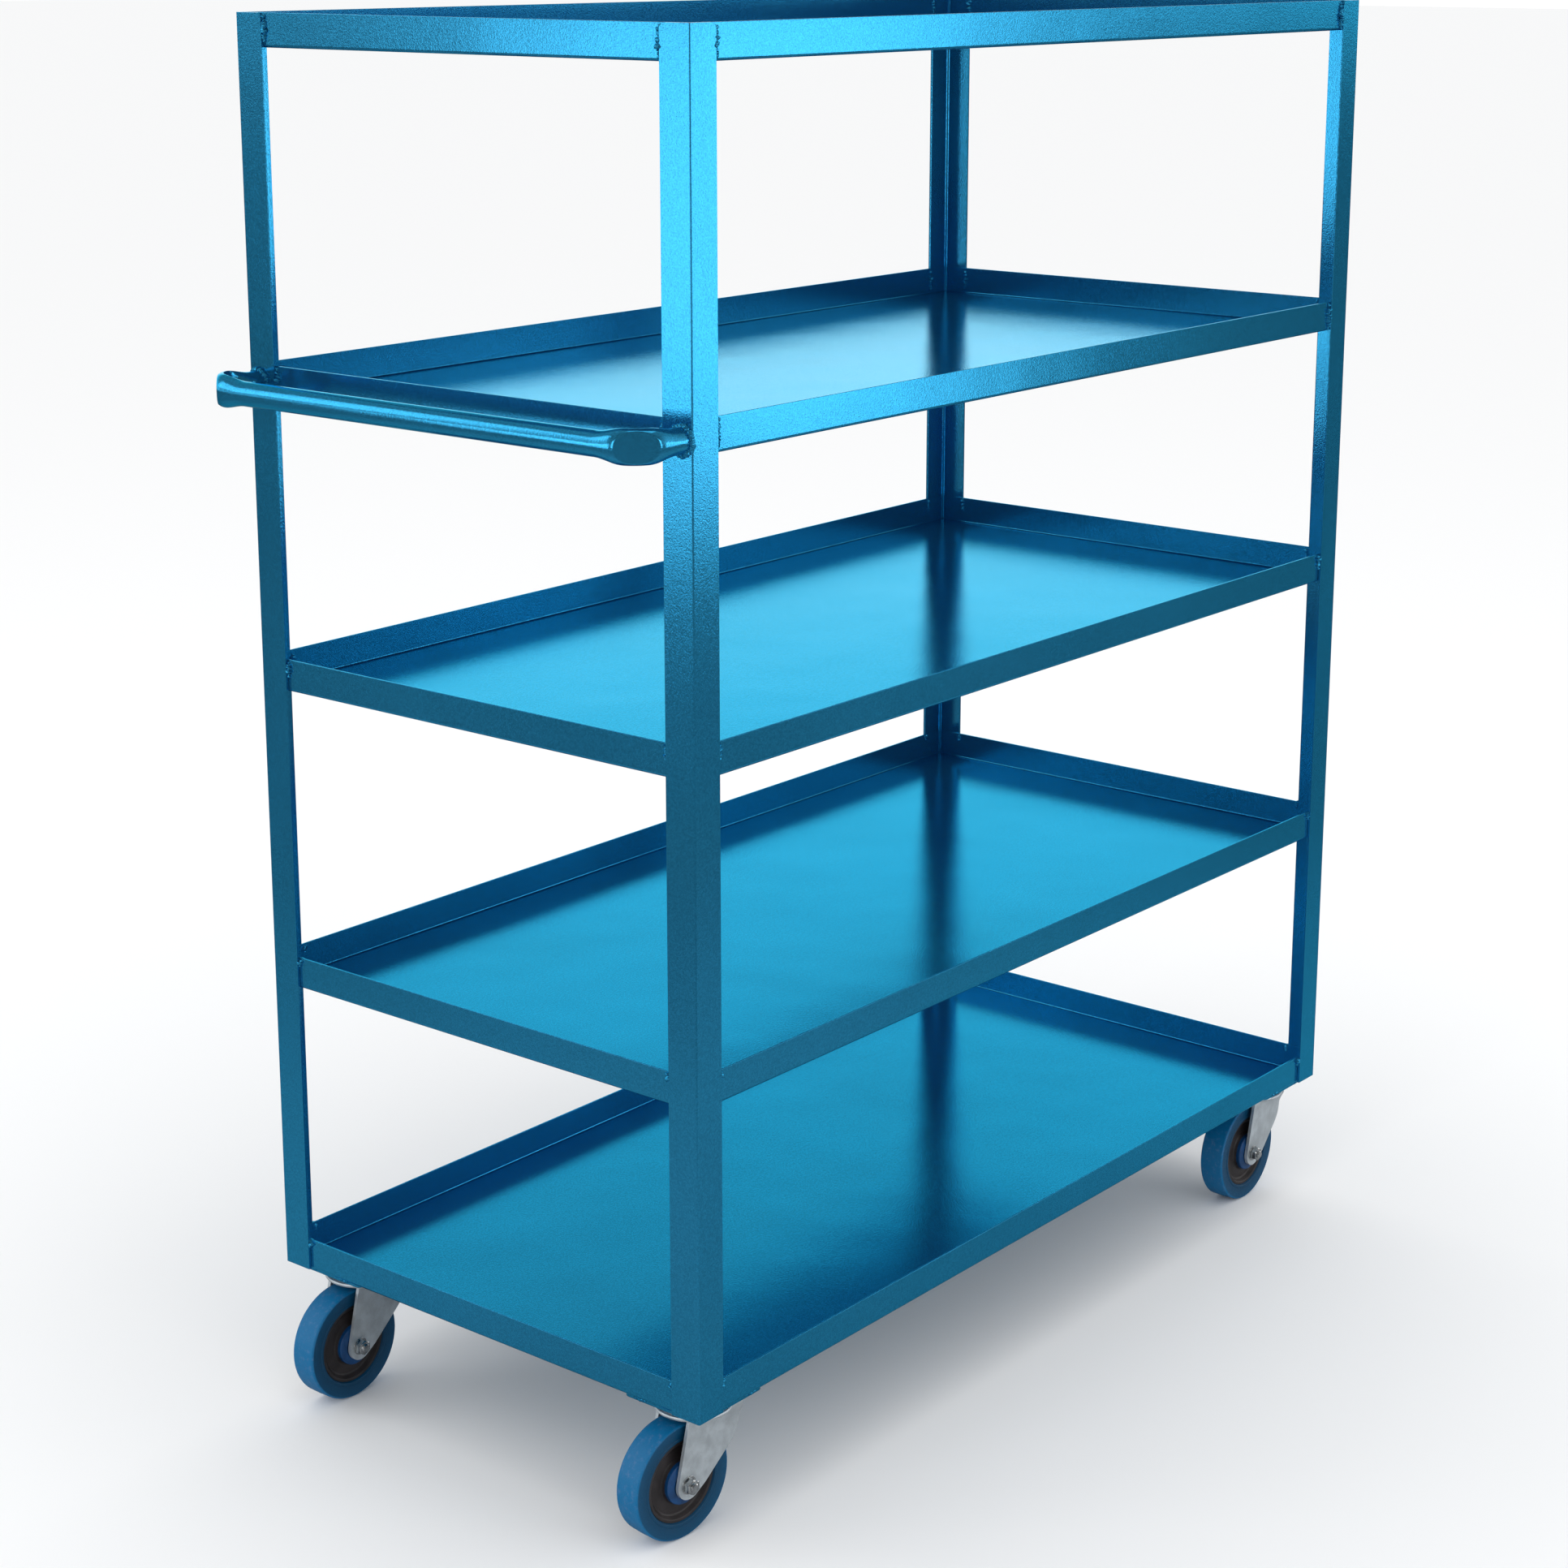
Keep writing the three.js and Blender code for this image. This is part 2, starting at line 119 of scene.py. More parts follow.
class CartHandle(bpy.types.PropertyGroup):
    tube: length("Tube", "Diameter of the handle tube", 25.4 * MM)
    bend: length("Bend radius", "Radius of the two bends, to the middle of the tube", 27 * MM)
    crushed_height: length("Crushed height", "Height of the tube in the middle of a bend", 34.5 * MM)
    crushed_thickness: length("Crushed thickness", "Thickness of the tube in the middle of a bend", 12 * MM)
    spread: length("Crush spread", "Length over which the tube returns to round", 34 * MM)
    dent: amount("Dent", "How far the inner wall of a bend has buckled in", 1.2, high=2.0)


class CartWelds(bpy.types.PropertyGroup):
    lip_bead: length("Lip bead", "Radius of the beads where the trays meet the posts", 3.5 * MM)
    handle_bead: length("Handle bead", "Radius of the beads round the ends of the handle", 3.1 * MM)
    ripple: length("Ripple pitch", "Distance between the ripples along a bead", 3.6 * MM)
    seed: bpy.props.IntProperty(name="Seed", description="Chooses the welder's unevenness", default=7)


class CartCasters(bpy.types.PropertyGroup):
    zinc: colour("Zinc", "Colour of the plated forks and kingpins", (0.62, 0.68, 0.72))
    tyre: colour("Tyre", "Colour of the elastic tyre", (0.0, 0.12, 0.285))
    core: colour("Core", "Colour of the moulded wheel centre", (0.022, 0.018, 0.019))
    cap: colour("Hub cap", "Colour of the hub caps", (0.0, 0.035, 0.12))
    tyre_bed: length("Tyre bed", "Radius at which the tyre meets the core", 44.6 * MM)
    hub: length("Hub", "Radius of the hub caps", 23.4 * MM)
    crease: bpy.props.FloatProperty(
        name="Leg crease",
        description="How far the front half of each fork leg turns inwards",
        default=math.radians(8),
        subtype="ANGLE",
    )


class CartStage(bpy.types.PropertyGroup):
    floor: colour("Floor", "Colour of the studio floor", (0.9, 0.905, 0.91))
    lens: bpy.props.FloatProperty(name="Lens", description="Focal length in millimetres", default=69.2)
    distance: length("Light distance", "How far the two soft panels stand from the cart", 5.1)


SETTINGS = {
    "cart_paint": CartPaint,
    "cart_steel": CartSteel,
    "cart_handle": CartHandle,
    "cart_welds": CartWelds,
    "cart_casters": CartCasters,
    "cart_stage": CartStage,
}


# ---------------------------------------------------------------- node trees


class Wire:
    """An output socket whose arithmetic adds Math nodes to its tree."""

    def __init__(self, graph, socket):
        self.graph = graph
        self.socket = socket

    def maths(self, operation, first, second):
        return self.graph.node("ShaderNodeMath", {"operation": operation}, {0: first, 1: second})

    def __add__(self, other):
        return self.maths("ADD", self, other)

    def __radd__(self, other):
        return self.maths("ADD", other, self)

    def __sub__(self, other):
        return self.maths("SUBTRACT", self, other)

    def __rsub__(self, other):
        return self.maths("SUBTRACT", other, self)

    def __mul__(self, other):
        return self.maths("MULTIPLY", self, other)

    def __rmul__(self, other):
        return self.maths("MULTIPLY", other, self)

    def __truediv__(self, other):
        return self.maths("DIVIDE", self, other)

    def __pow__(self, other):
        return self.maths("POWER", self, other)


class Graph:
    """A node tree that is filled through one method."""

    def __init__(self, tree):
        self.tree = tree
        tree.nodes.clear()

    def node(self, kind, settings=None, sockets=None, output=0):
        """Adds a node: first its settings, then the values or wires of its sockets."""
        made = self.tree.nodes.new(kind)
        for name, value in (settings or {}).items():
            setattr(made, name, value)
        for key, value in (sockets or {}).items():
            if isinstance(value, Wire):
                self.tree.links.new(value.socket, made.inputs[key])
            else:
                made.inputs[key].default_value = value
        return Wire(self, made.outputs[output]) if made.outputs else None

    def place(self):
        """Where a point lies on its piece, in metres."""
        return self.node("ShaderNodeTexCoord", None, None, "Object")

    def noise(self, place, scale, detail=2.0, roughness=0.5):
        sockets = {"Vector": place, "Scale": scale, "Detail": detail, "Roughness": roughness}
        return self.node("ShaderNodeTexNoise", None, sockets)

    def ranged(self, value, low, high, new_low, new_high):
        """Maps a value from one range to another along a smooth curve, held at both ends."""
        sockets = {0: value, 1: low, 2: high, 3: new_low, 4: new_high}
        return self.node("ShaderNodeMapRange", {"interpolation_type": "SMOOTHSTEP"}, sockets)

    def mixed(self, share, first, second):
        """A colour between two others."""
        sockets = {0: share, 6: first, 7: second}
        return self.node("ShaderNodeMix", {"data_type": "RGBA"}, sockets, output=2)

    def bump(self, height, distance, strength=1.0):
        sockets = {"Strength": strength, "Distance": distance, "Height": height}
        return self.node("ShaderNodeBump", None, sockets)


def rgba(values, gain=1.0):
    return (*(min(1.0, value * gain) for value in values), 1.0)


# ---------------------------------------------------------------- finishes


def enamel(graph, extra_bump=0.0):
    """Sprayed metallic enamel with orange peel, a fine grain and slow waves in the sheet."""
    paint = bpy.context.scene.cart_paint
    place = graph.place()
    peel = graph.noise(place, 1 / paint.peel_size, 1.5)
    grain = graph.noise(place, 2.8 / paint.peel_size, 1.0)
    waves = graph.noise(place, 7.0, 1.0)
    drift = graph.noise(place, 2.3, 3.0)
    height = peel + grain * 0.45 + waves * 9.0
    if extra_bump:
        height = height + graph.noise(place, 420.0, 3.0) * extra_bump
    shade = peel * 0.45 + grain * 0.35 + drift * 0.2
    tone = graph.ranged(shade, 0.36, 0.64, 0.0, 1.0)
    cloud = peel * 0.6 + drift * 0.4
    sockets = {
        "Base Color": graph.mixed(tone, rgba(paint.base, 0.8), rgba(paint.base, 1.18)),
        "Metallic": paint.metallic,
        "Roughness": graph.ranged(cloud, 0.3, 0.7, paint.roughness * 0.8, paint.roughness * 1.25),
        "Specular Tint": rgba(paint.edge),
        "Coat Weight": paint.clear,
        "Coat Roughness": 0.12,
        "Normal": graph.bump(height, paint.peel_depth),
    }
    return graph.node("ShaderNodeBsdfPrincipled", None, sockets)


def painted_weld(graph):
    """The same enamel over a coarse weld bead."""
    return enamel(graph, extra_bump=12.0)


def zinc(graph):
    """Bright zinc plate: a satin grey with faint clouding and rolling marks."""
    casters = bpy.context.scene.cart_casters
    place = graph.place()
    cloud = graph.noise(place, 60.0, 4.0, 0.6)
    fine = graph.noise(place, 1400.0, 2.0)
    tone = graph.ranged(cloud * 0.75 + fine * 0.25, 0.35, 0.65, 0.0, 1.0)
    sockets = {
        "Base Color": graph.mixed(tone, rgba(casters.zinc, 0.86), rgba(casters.zinc, 1.08)),
        "Metallic": 0.75,
        "Roughness": graph.ranged(cloud, 0.3, 0.7, 0.36, 0.5),
        "Normal": graph.bump(fine + cloud * 2.0, 0.00002),
    }
    return graph.node("ShaderNodeBsdfPrincipled", None, sockets)


def bright_zinc(graph):
    """Brighter plate on turned and headed parts."""
    place = graph.place()
    cloud = graph.noise(place, 180.0, 3.0)
    tone = graph.ranged(cloud, 0.35, 0.65, 0.0, 1.0)
    sockets = {
        "Base Color": graph.mixed(tone, (0.5, 0.52, 0.53, 1), (0.78, 0.8, 0.8, 1)),
        "Metallic": 1.0,
        "Roughness": graph.ranged(cloud, 0.3, 0.7, 0.14, 0.26),
        "Normal": graph.bump(cloud, 0.00002),
    }
    return graph.node("ShaderNodeBsdfPrincipled", None, sockets)


def ground_steel(graph):
    """Bare ground steel, as on balls, sleeves and bearings."""
    place = graph.place()
    fine = graph.noise(place, 2200.0, 2.0)
    oil = graph.noise(place, 45.0, 3.0)
    tone = graph.ranged(oil, 0.35, 0.65, 0.0, 1.0)
    sockets = {
        "Base Color": graph.mixed(tone, (0.34, 0.33, 0.32, 1), (0.56, 0.56, 0.57, 1)),
        "Metallic": 1.0,
        "Roughness": graph.ranged(oil, 0.3, 0.7, 0.2, 0.38),
        "Normal": graph.bump(fine, 0.00001),
    }
    return graph.node("ShaderNodeBsdfPrincipled", None, sockets)


def rubber(graph):
    """Elastic blue rubber, greyed by dust and scuffs where the tyre's mask says it rolls, with painted
    shade on the sidewalls.
    """
    casters = bpy.context.scene.cart_casters
    place = graph.place()
    wear_and_shade = graph.node("ShaderNodeAttribute", {"attribute_name": "wear_and_shade"}, None, "Fac")
    fine = graph.noise(place, 1500.0, 2.0)
    scuff = graph.noise(place, 190.0, 4.0, 0.65)
    dust = graph.ranged(scuff, 0.5, 0.75, 0.0, 0.35) * wear_and_shade
    tone = graph.ranged(fine, 0.3, 0.7, 0.0, 1.0)
    tread = graph.mixed(tone, rgba(casters.tyre, 0.88), rgba(casters.tyre, 1.1))
    # painted shade: the sidewalls get a darkened copy of the tyre colour, and the mask of the rolling face
    # gives the tread its full colour
    wall = graph.mixed(tone, rgba(casters.tyre, 0.3), rgba(casters.tyre, 0.4))
    tread_and_shaded_wall = graph.mixed(wear_and_shade, wall, tread)
    sockets = {
        "Base Color": graph.mixed(dust, tread_and_shaded_wall, (0.13, 0.19, 0.34, 1)),
        "Roughness": graph.ranged(scuff, 0.3, 0.7, 0.38, 0.55) + dust * 0.3,
        "Specular IOR Level": 0.28,
        "Normal": graph.bump(fine + scuff * 3.0, 0.00004),
    }
    return graph.node("ShaderNodeBsdfPrincipled", None, sockets)


def moulded(graph, tint, roughness):
    """Moulded nylon with a fine spark-eroded grain."""
    place = graph.place()
    fine = graph.noise(place, 1100.0, 3.0)
    drift = graph.noise(place, 70.0, 3.0)
    tone = graph.ranged(drift, 0.3, 0.7, 0.0, 1.0)
    sockets = {
        "Base Color": graph.mixed(tone, rgba(tint, 0.8), rgba(tint, 1.3)),
        "Roughness": graph.ranged(fine, 0.3, 0.7, roughness * 0.85, roughness * 1.15),
        "Normal": graph.bump(fine, 0.00005),
    }
    return graph.node("ShaderNodeBsdfPrincipled", None, sockets)


def dark_nylon(graph):
    return moulded(graph, bpy.context.scene.cart_casters.core, 0.46)


def blue_nylon(graph):
    return moulded(graph, bpy.context.scene.cart_casters.cap, 0.36)


FINISHES = {
    "blue_paint": enamel,
    "painted_weld": painted_weld,
    "zinc_plate": zinc,
    "bright_zinc": bright_zinc,
    "bare_steel": ground_steel,
    "blue_rubber": rubber,
    "dark_nylon": dark_nylon,
    "blue_nylon": blue_nylon,
}


def finish_material(name):
    """The named finish, made the first time it is asked for."""
    made = bpy.data.materials.get("finish_" + name)
    if made is None:
        made = bpy.data.materials.new("finish_" + name)
        made.use_nodes = True
        graph = Graph(made.node_tree)
        graph.node("ShaderNodeOutputMaterial", None, {"Surface": FINISHES[name](graph)})
    return made


# ---------------------------------------------------------------- shapes


def rounded(corners, closed=True, step=math.radians(15)):
    """The points of an outline whose corners (x, y, radius) are each turned into an arc."""
    points = []
    last = len(corners) - 1
    for index, (x, y, radius) in enumerate(corners):
        here = Vector((x, y))
        if radius <= 0 or (not closed and index in (0, last)):
            points.append(here)
            continue
        before = (Vector(corners[index - 1][:2]) - here).normalized()
        after = (Vector(corners[(index + 1) % (last + 1)][:2]) - here).normalized()
        half = before.angle(after) / 2
        centre = here + (before + after).normalized() * (radius / math.sin(half))
        start = here + before * (radius / math.tan(half)) - centre
        turn = (math.pi - 2 * half) * (1 if before.cross(after) < 0 else -1)
        steps = max(1, math.ceil(abs(turn) / step))
        points.extend(centre + Matrix.Rotation(turn * k / steps, 2) @ start for k in range(steps + 1))
    return points


def circle(x, y, radius, points=28):
    turns = (2 * math.pi * k / points for k in range(points))
    return [(x + radius * math.cos(a), y + radius * math.sin(a)) for a in turns]


def new_piece(name, vertices, faces, place=Matrix.Identity(4)):
    """A mesh object at the origin, with its doubles merged, its faces outward and its place in its mesh."""
    shape = bmesh.new()
    corners = [shape.verts.new(place @ Vector(vertex)) for vertex in vertices]
    for face in faces:
        shape.faces.new([corners[index] for index in face])
    bmesh.ops.remove_doubles(shape, verts=shape.verts, dist=1e-6)
    bmesh.ops.dissolve_degenerate(shape, edges=shape.edges, dist=1e-7)
    bmesh.ops.recalc_face_normals(shape, faces=shape.faces)
    data = bpy.data.meshes.new(name)
    shape.to_mesh(data)
    shape.free()
    data.shade_smooth()
    piece = bpy.data.objects.new(name, data)
    bpy.context.scene.collection.objects.link(piece)
    return piece


def smooth_below(piece, degrees):
    """Shades a piece smooth, except over edges that turn more than this."""
    piece.data.set_sharp_from_angle(angle=math.radians(degrees))


def soften(piece, width, segments=2, degrees=40):
    """Rounds a piece's sharp edges and keeps its large faces shaded flat."""
    bevel = piece.modifiers.new("soft_edges", "BEVEL")
    bevel.width = width
    bevel.segments = segments
    bevel.limit_method = "ANGLE"
    bevel.angle_limit = math.radians(degrees)
    even = piece.modifiers.new("even_shading", "WEIGHTED_NORMAL")
    even.mode = "FACE_AREA"
    even.weight = 90
    even.keep_sharp = True


def thicken(piece, thickness):
    """Gives a sheet its thickness, half to each side."""
    solid = piece.modifiers.new("sheet", "SOLIDIFY")
    solid.thickness = thickness
    solid.offset = 0
    solid.use_even_offset = True


def settled(piece):
    """Turns a piece and its modifiers into a plain mesh."""
    bpy.context.view_layer.update()
    evaluated = piece.evaluated_get(bpy.context.evaluated_depsgraph_get())
    plain = bpy.data.meshes.new_from_object(evaluated)
    piece.modifiers.clear()
    plain.name = piece.name
    piece.data = plain
    return piece


def joined(name, pieces):
    """One piece from several plain ones, which are removed."""
    shape = bmesh.new()
    for piece in pieces:
        shape.from_mesh(piece.data)
        bpy.data.objects.remove(piece)
    data = bpy.data.meshes.new(name)
    shape.to_mesh(data)
    shape.free()
    made = bpy.data.objects.new(name, data)
    bpy.context.scene.collection.objects.link(made)
    return made


def held(profile):
    """The profile with points near the ends of its long runs, so that smooth shading keeps them flat."""
    points = []
    for index, here in enumerate(profile):
        points.append(tuple(here))
        after = Vector(profile[(index + 1) % len(profile)][:2])
        run = after - Vector(here[:2])
        if index + 1 < len(profile) and run.length > 2 * MM:
            inset = run.normalized() * 0.3 * MM
            points.append(tuple(Vector(here[:2]) + inset))
            points.append(tuple(after - inset))
    return points


def lathe(profile, segments, place=Matrix.Identity(4), name="turned", closed=True, radius_at=None):
    """Turns (radius, height) points about Z. radius_at(radius, height, angle) may reshape each ring."""
    vertices = []
    profile = held(profile)
    for radius, height in profile:
        for k in range(segments):
            angle = 2 * math.pi * k / segments
            reach = radius_at(radius, height, angle) if radius_at else radius
            vertices.append((reach * math.cos(angle), reach * math.sin(angle), height))
    rings = len(profile)
    faces = []
    for ring in range(rings if closed else rings - 1):
        here, there = ring * segments, (ring + 1) % rings * segments
        for k in range(segments):
            after = (k + 1) % segments
            faces.append((here + k, here + after, there + after, there + k))
    return new_piece(name, vertices, faces, place)


def tower(rings):
    """Vertices and faces of a capped skin over closed rings of points, one after another."""
    count = len(rings[0])
    vertices = [point for ring in rings for point in ring]
    faces = []
    for ring in range(len(rings) - 1):
        here, there = ring * count, (ring + 1) * count
        for k in range(count):
            after = (k + 1) % count
            faces.append((here + k, here + after, there + after, there + k))
    faces.append(tuple(range(count)))
    faces.append(tuple(range(len(vertices) - count, len(vertices))))
    return vertices, faces


def hexagon(flats):
    """The radius of a hexagon at an angle, limited to a chamfer cone's radius."""

    def radius_at(radius, height, angle):
        sixth = math.pi / 3
        within = (angle + sixth / 2) % sixth - sixth / 2
        return min(radius, flats / 2 / math.cos(within))

    return radius_at


def hex_body(name, flats, low, high, bore, place):
    """A hexagon nut or head about Z, chamfered at both ends, with a hole or (bore 0) closed."""
    corner = flats / math.sqrt(3)
    chamfer = (corner - 0.47 * flats) * math.tan(math.radians(28))
    profile = [
        (bore, low),
        (0.47 * flats, low),
        (corner, low + chamfer),
        (corner, high - chamfer),
        (0.47 * flats, high),
        (bore, high),
    ]
    piece = lathe(profile, 72, place, name, closed=bore > 0, radius_at=hexagon(flats))
    smooth_below(piece, 20)
    return piece


def coated(piece, finish):
    """Gives a piece the named finish and no other."""
    piece.data.materials.clear()
    piece.data.materials.append(finish_material(finish))


def dressed(piece, body, slot, *nodes, finish=None):
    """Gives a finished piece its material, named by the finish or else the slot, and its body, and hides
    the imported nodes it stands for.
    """
    coated(piece, finish or slot)
    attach(piece, body)
    if nodes:
        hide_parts(*nodes)
    return piece


def caster_frame(corner):
    """The caster's own axes: origin on the floor under the swivel, +X forward, +Y along the axle."""
    swivel = JOINTS["swivel_" + corner]["pos_m"]
    axle = JOINTS["roll_" + corner]["axis"]
    turn = Matrix.Rotation(math.atan2(-axle[0], axle[1]), 4, "Z")
    return Matrix.Translation((swivel[0], swivel[1], 0)) @ turn


def axle_frame(corner):
    """The axle's axes, with +Z along the axle towards +Y of the caster."""
    centre = JOINTS["roll_" + corner]["pos_m"]
    turn = caster_frame(corner).to_3x3().to_4x4()
    return Matrix.Translation(centre) @ turn @ TO_AXLE


# ---------------------------------------------------------------- posts and trays


def post_shell(steel, height):
    """An angle post about its heel, as pairs of points on its outer and inner faces from toe to toe."""
    quarter = [math.radians(90 * k / 6) for k in range(7)]
    shoulder = steel.leg - steel.leg_top
    toe = [shoulder + steel.leg_top * math.cos(a) for a in quarter]
    pairs = [((x, 0), (x, steel.wall)) for x in toe]
    inside = steel.wall + steel.fillet
    for a in quarter:
        turn = Vector((-math.sin(a), -math.cos(a)))
        outer = Vector((steel.heel, steel.heel)) + steel.heel * turn
        inner = Vector((inside, inside)) + steel.fillet * turn
        pairs.append((tuple(outer), tuple(inner)))
    pairs += [((oy, ox), (iy, ix)) for (ox, oy), (ix, iy) in reversed(pairs[: len(toe)])]
    ring = [outer for outer, _ in pairs] + [inner for _, inner in reversed(pairs)]

    def top(x, y):
        past = max(0.0, max(x, y) - shoulder)
        return height - steel.leg_top + math.sqrt(max(0.0, steel.leg_top**2 - past**2))

    vertices = [(x, y, 0) for x, y in ring] + [(x, y, top(x, y)) for x, y in ring]
    count = len(ring)
    faces = [(k, (k + 1) % count, count + (k + 1) % count, count + k) for k in range(count)]
    for k in range(len(pairs) - 1):
        ladder = (k, k + 1, count - 2 - k, count - 1 - k)
        faces.append(ladder)
        faces.append(tuple(count + index for index in ladder))
    return vertices, faces


class CART_OT_posts(bpy.types.Operator):
    """Angle posts with a rolled heel, a filleted inside corner and rounded leg tops"""

    bl_idname = "cart.posts"
    bl_label = "Posts"

    def execute(self, context):
        steel = context.scene.cart_steel
        for corner, (along, across) in CORNERS.items():
            low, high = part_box("post_" + corner)
            heel = Vector((high.x if along > 0 else low.x, high.y if across > 0 else low.y, low.z))
            place = Matrix.Translation(heel) @ Matrix.Diagonal((-along, -across, 1, 1))
            piece = new_piece("angle_post_" + corner, *post_shell(steel, high.z - low.z), place)
            soften(piece, steel.soft)
            dressed(piece, "frame", "blue_paint", "post_" + corner)
        return {"FINISHED"}


def tray_sheet(half_length, half_width, lip, steel):
    """The middle of a tray's folded sheet: a flat floor and four flaps with open corners."""
    flat = (half_length - steel.sheet / 2 - steel.fold, half_width - steel.sheet / 2 - steel.fold)
    bend = [math.radians(15 * k) for k in range(7)]
    rise = [(steel.fold * math.sin(a), steel.fold * (1 - math.cos(a))) for a in bend]
    rise.append((steel.fold, lip - steel.sheet / 2))
    vertices = [(sx * flat[0], sy * flat[1], 0) for sx, sy in ((-1, -1), (1, -1), (1, 1), (-1, 1))]
    faces = [(0, 1, 2, 3)]
    for side in range(4):
        turn = Matrix.Rotation(side * math.pi / 2, 3, "Z")
        run, reach = (flat[0], flat[1]) if side % 2 == 0 else (flat[1], flat[0])
        first = len(vertices)
        for out, up in rise:
            vertices.append(turn @ Vector((-run, -reach - out, up)))
            vertices.append(turn @ Vector((run, -reach - out, up)))
        for low in range(first, first + 2 * (len(rise) - 1), 2):
            faces.append((low, low + 1, low + 3, low + 2))
    return vertices, faces


class CART_OT_trays(bpy.types.Operator):
    """Folded sheet trays with a lip up on all four sides and a relief slit in each corner"""

    bl_idname = "cart.trays"
    bl_label = "Trays"

    def execute(self, context):
        steel = context.scene.cart_steel
        for node in TRAYS:
            low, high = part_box(node)
            half = (high - low) / 2
            centre = (low + high) / 2
            place = Matrix.Translation((centre.x, centre.y, low.z + steel.sheet / 2))
            piece = new_piece("folded_" + node, *tray_sheet(half.x, half.y, high.z - low.z, steel), place)
            thicken(piece, steel.sheet)
            soften(piece, steel.soft * 0.7)
            dressed(piece, "frame", "blue_paint", node)
        return {"FINISHED"}


# ---------------------------------------------------------------- handle


def crushed_section(handle, share, buckle, points=88):
    """The tube's section in a bend as (outward, up): share 1 is fully squeezed, buckle 1 fully dented."""
    section = []
    inner = 2 * handle.crushed_thickness / handle.tube - 1
    for k in range(points):
        angle = 2 * math.pi * k / points
        out, up = math.cos(angle), math.sin(angle)
        height = handle.tube / 2 + (handle.crushed_height - handle.tube) / 2 * share
        reach = out * handle.tube / 2
        if out < 0:
            wall = inner * (1 - handle.dent * buckle * math.exp(-((up / 0.55) ** 2)))
            reach *= 1 + (wall - 1) * share
        section.append((reach, up * height))
    return section


def flattened(handle, x, y, centre_x, centre_y):
    """Moves a point of a bend inwards to the flat that the bending die leaves on its outer wall."""
    out = (centre_x - x + centre_y - y) / math.sqrt(2)
    limit = handle.bend + handle.crushed_thickness / 2
    soft = 0.3 * MM
    past = (out - limit) / soft
    kept = limit - soft * (math.log1p(math.exp(-abs(past))) + max(-past, 0.0))
    shift = (kept - out) / math.sqrt(2)
    return x - shift, y - shift


def smooth_step(value, low, high):
    share = min(1.0, max(0.0, (value - low) / (high - low)))
    return share * share * (3 - 2 * share)


def handle_rings(handle, post_face, grip_x, arm_y, height):
    """Rings along the handle: out from one post, round its bend, along the grip and back to the other."""
    arm = post_face - grip_x - handle.bend
    arc = handle.bend * math.pi / 2
    half_grip = arm_y - handle.bend
    recovery = handle.spread * 1.6
    steps = [arm * k / 18 for k in range(18)]
    steps += [arm + arc * k / 40 for k in range(40)]
    steps += [arm + arc + recovery * k / 28 for k in range(28)]
    steps += [arm + arc + recovery + (half_grip - recovery) * k / 6 for k in range(7)]
    half = []
    for step in steps:
        angle = min(math.pi / 2, max(0.0, (step - arm) / handle.bend))
        x = post_face - min(step, arm) - handle.bend * math.sin(angle)
        y = handle.bend * (1 - math.cos(angle)) + max(0.0, step - arm - arc)
        from_bend = abs(step - arm - arc / 2)
        share = 1 - smooth_step(from_bend, arc * 0.25, arc * 0.25 + handle.spread)
        buckle = 1 - smooth_step(from_bend, arc * 0.1, arc * 0.25 + handle.spread * 0.45)
        ring = []
        for out, up in crushed_section(handle, share, buckle):
            wall = (x - math.sin(angle) * out, y - math.cos(angle) * out)
            ring.append((*flattened(handle, *wall, grip_x + handle.bend, handle.bend), height + up))
        half.append(ring)
    near = [[(x, y - arm_y, z) for x, y, z in ring] for ring in half]
    far = [[(x, arm_y - y, z) for x, y, z in ring] for ring in reversed(half[:-1])]
    return near + far


class CART_OT_handle(bpy.types.Operator):
    """Push handle of bent tube, flattened and buckled in its two tight bends"""

    bl_idname = "cart.handle"
    bl_label = "Handle"

    def execute(self, context):
        handle = context.scene.cart_handle
        low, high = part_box("push_handle")
        post_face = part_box("post_rear_right")[0].x
        grip_x = low.x + handle.tube / 2
        arm_y = high.y - handle.tube / 2
        rings = handle_rings(handle, post_face, grip_x, arm_y, (low.z + high.z) / 2)
        piece = new_piece("bent_push_handle", *tower(rings))
        smooth_below(piece, 50)
        dressed(piece, "frame", "blue_paint", "push_handle")
        return {"FINISHED"}


# ---------------------------------------------------------------- welds and balls


def node_group(name, inputs):
    """A geometry node group with the given extra inputs as (name, socket type, default)."""
    group = bpy.data.node_groups.new(name, "GeometryNodeTree")
    group.interface.new_socket("Geometry", in_out="INPUT", socket_type="NodeSocketGeometry")
    for label, kind, default in inputs:
        socket = group.interface.new_socket(label, in_out="INPUT", socket_type=kind)
        if default is not None:
            socket.default_value = default
    group.interface.new_socket("Geometry", in_out="OUTPUT", socket_type="NodeSocketGeometry")
    graph = Graph(group)
    source = group.nodes.new("NodeGroupInput")
    wires = {socket.name: Wire(graph, socket) for socket in source.outputs if socket.name}
    return group, graph, wires


def end_group(graph, geometry, material):
    """Ends a group the way every one here ends: instances made real, and the material set."""
    real = graph.node("GeometryNodeRealizeInstances", None, {"Geometry": geometry})
    smooth = graph.node("GeometryNodeSetShadeSmooth", None, {"Geometry": real})
    painted = graph.node("GeometryNodeSetMaterial", None, {"Geometry": smooth, "Material": material})
    graph.node("NodeGroupOutput", None, {"Geometry": painted})


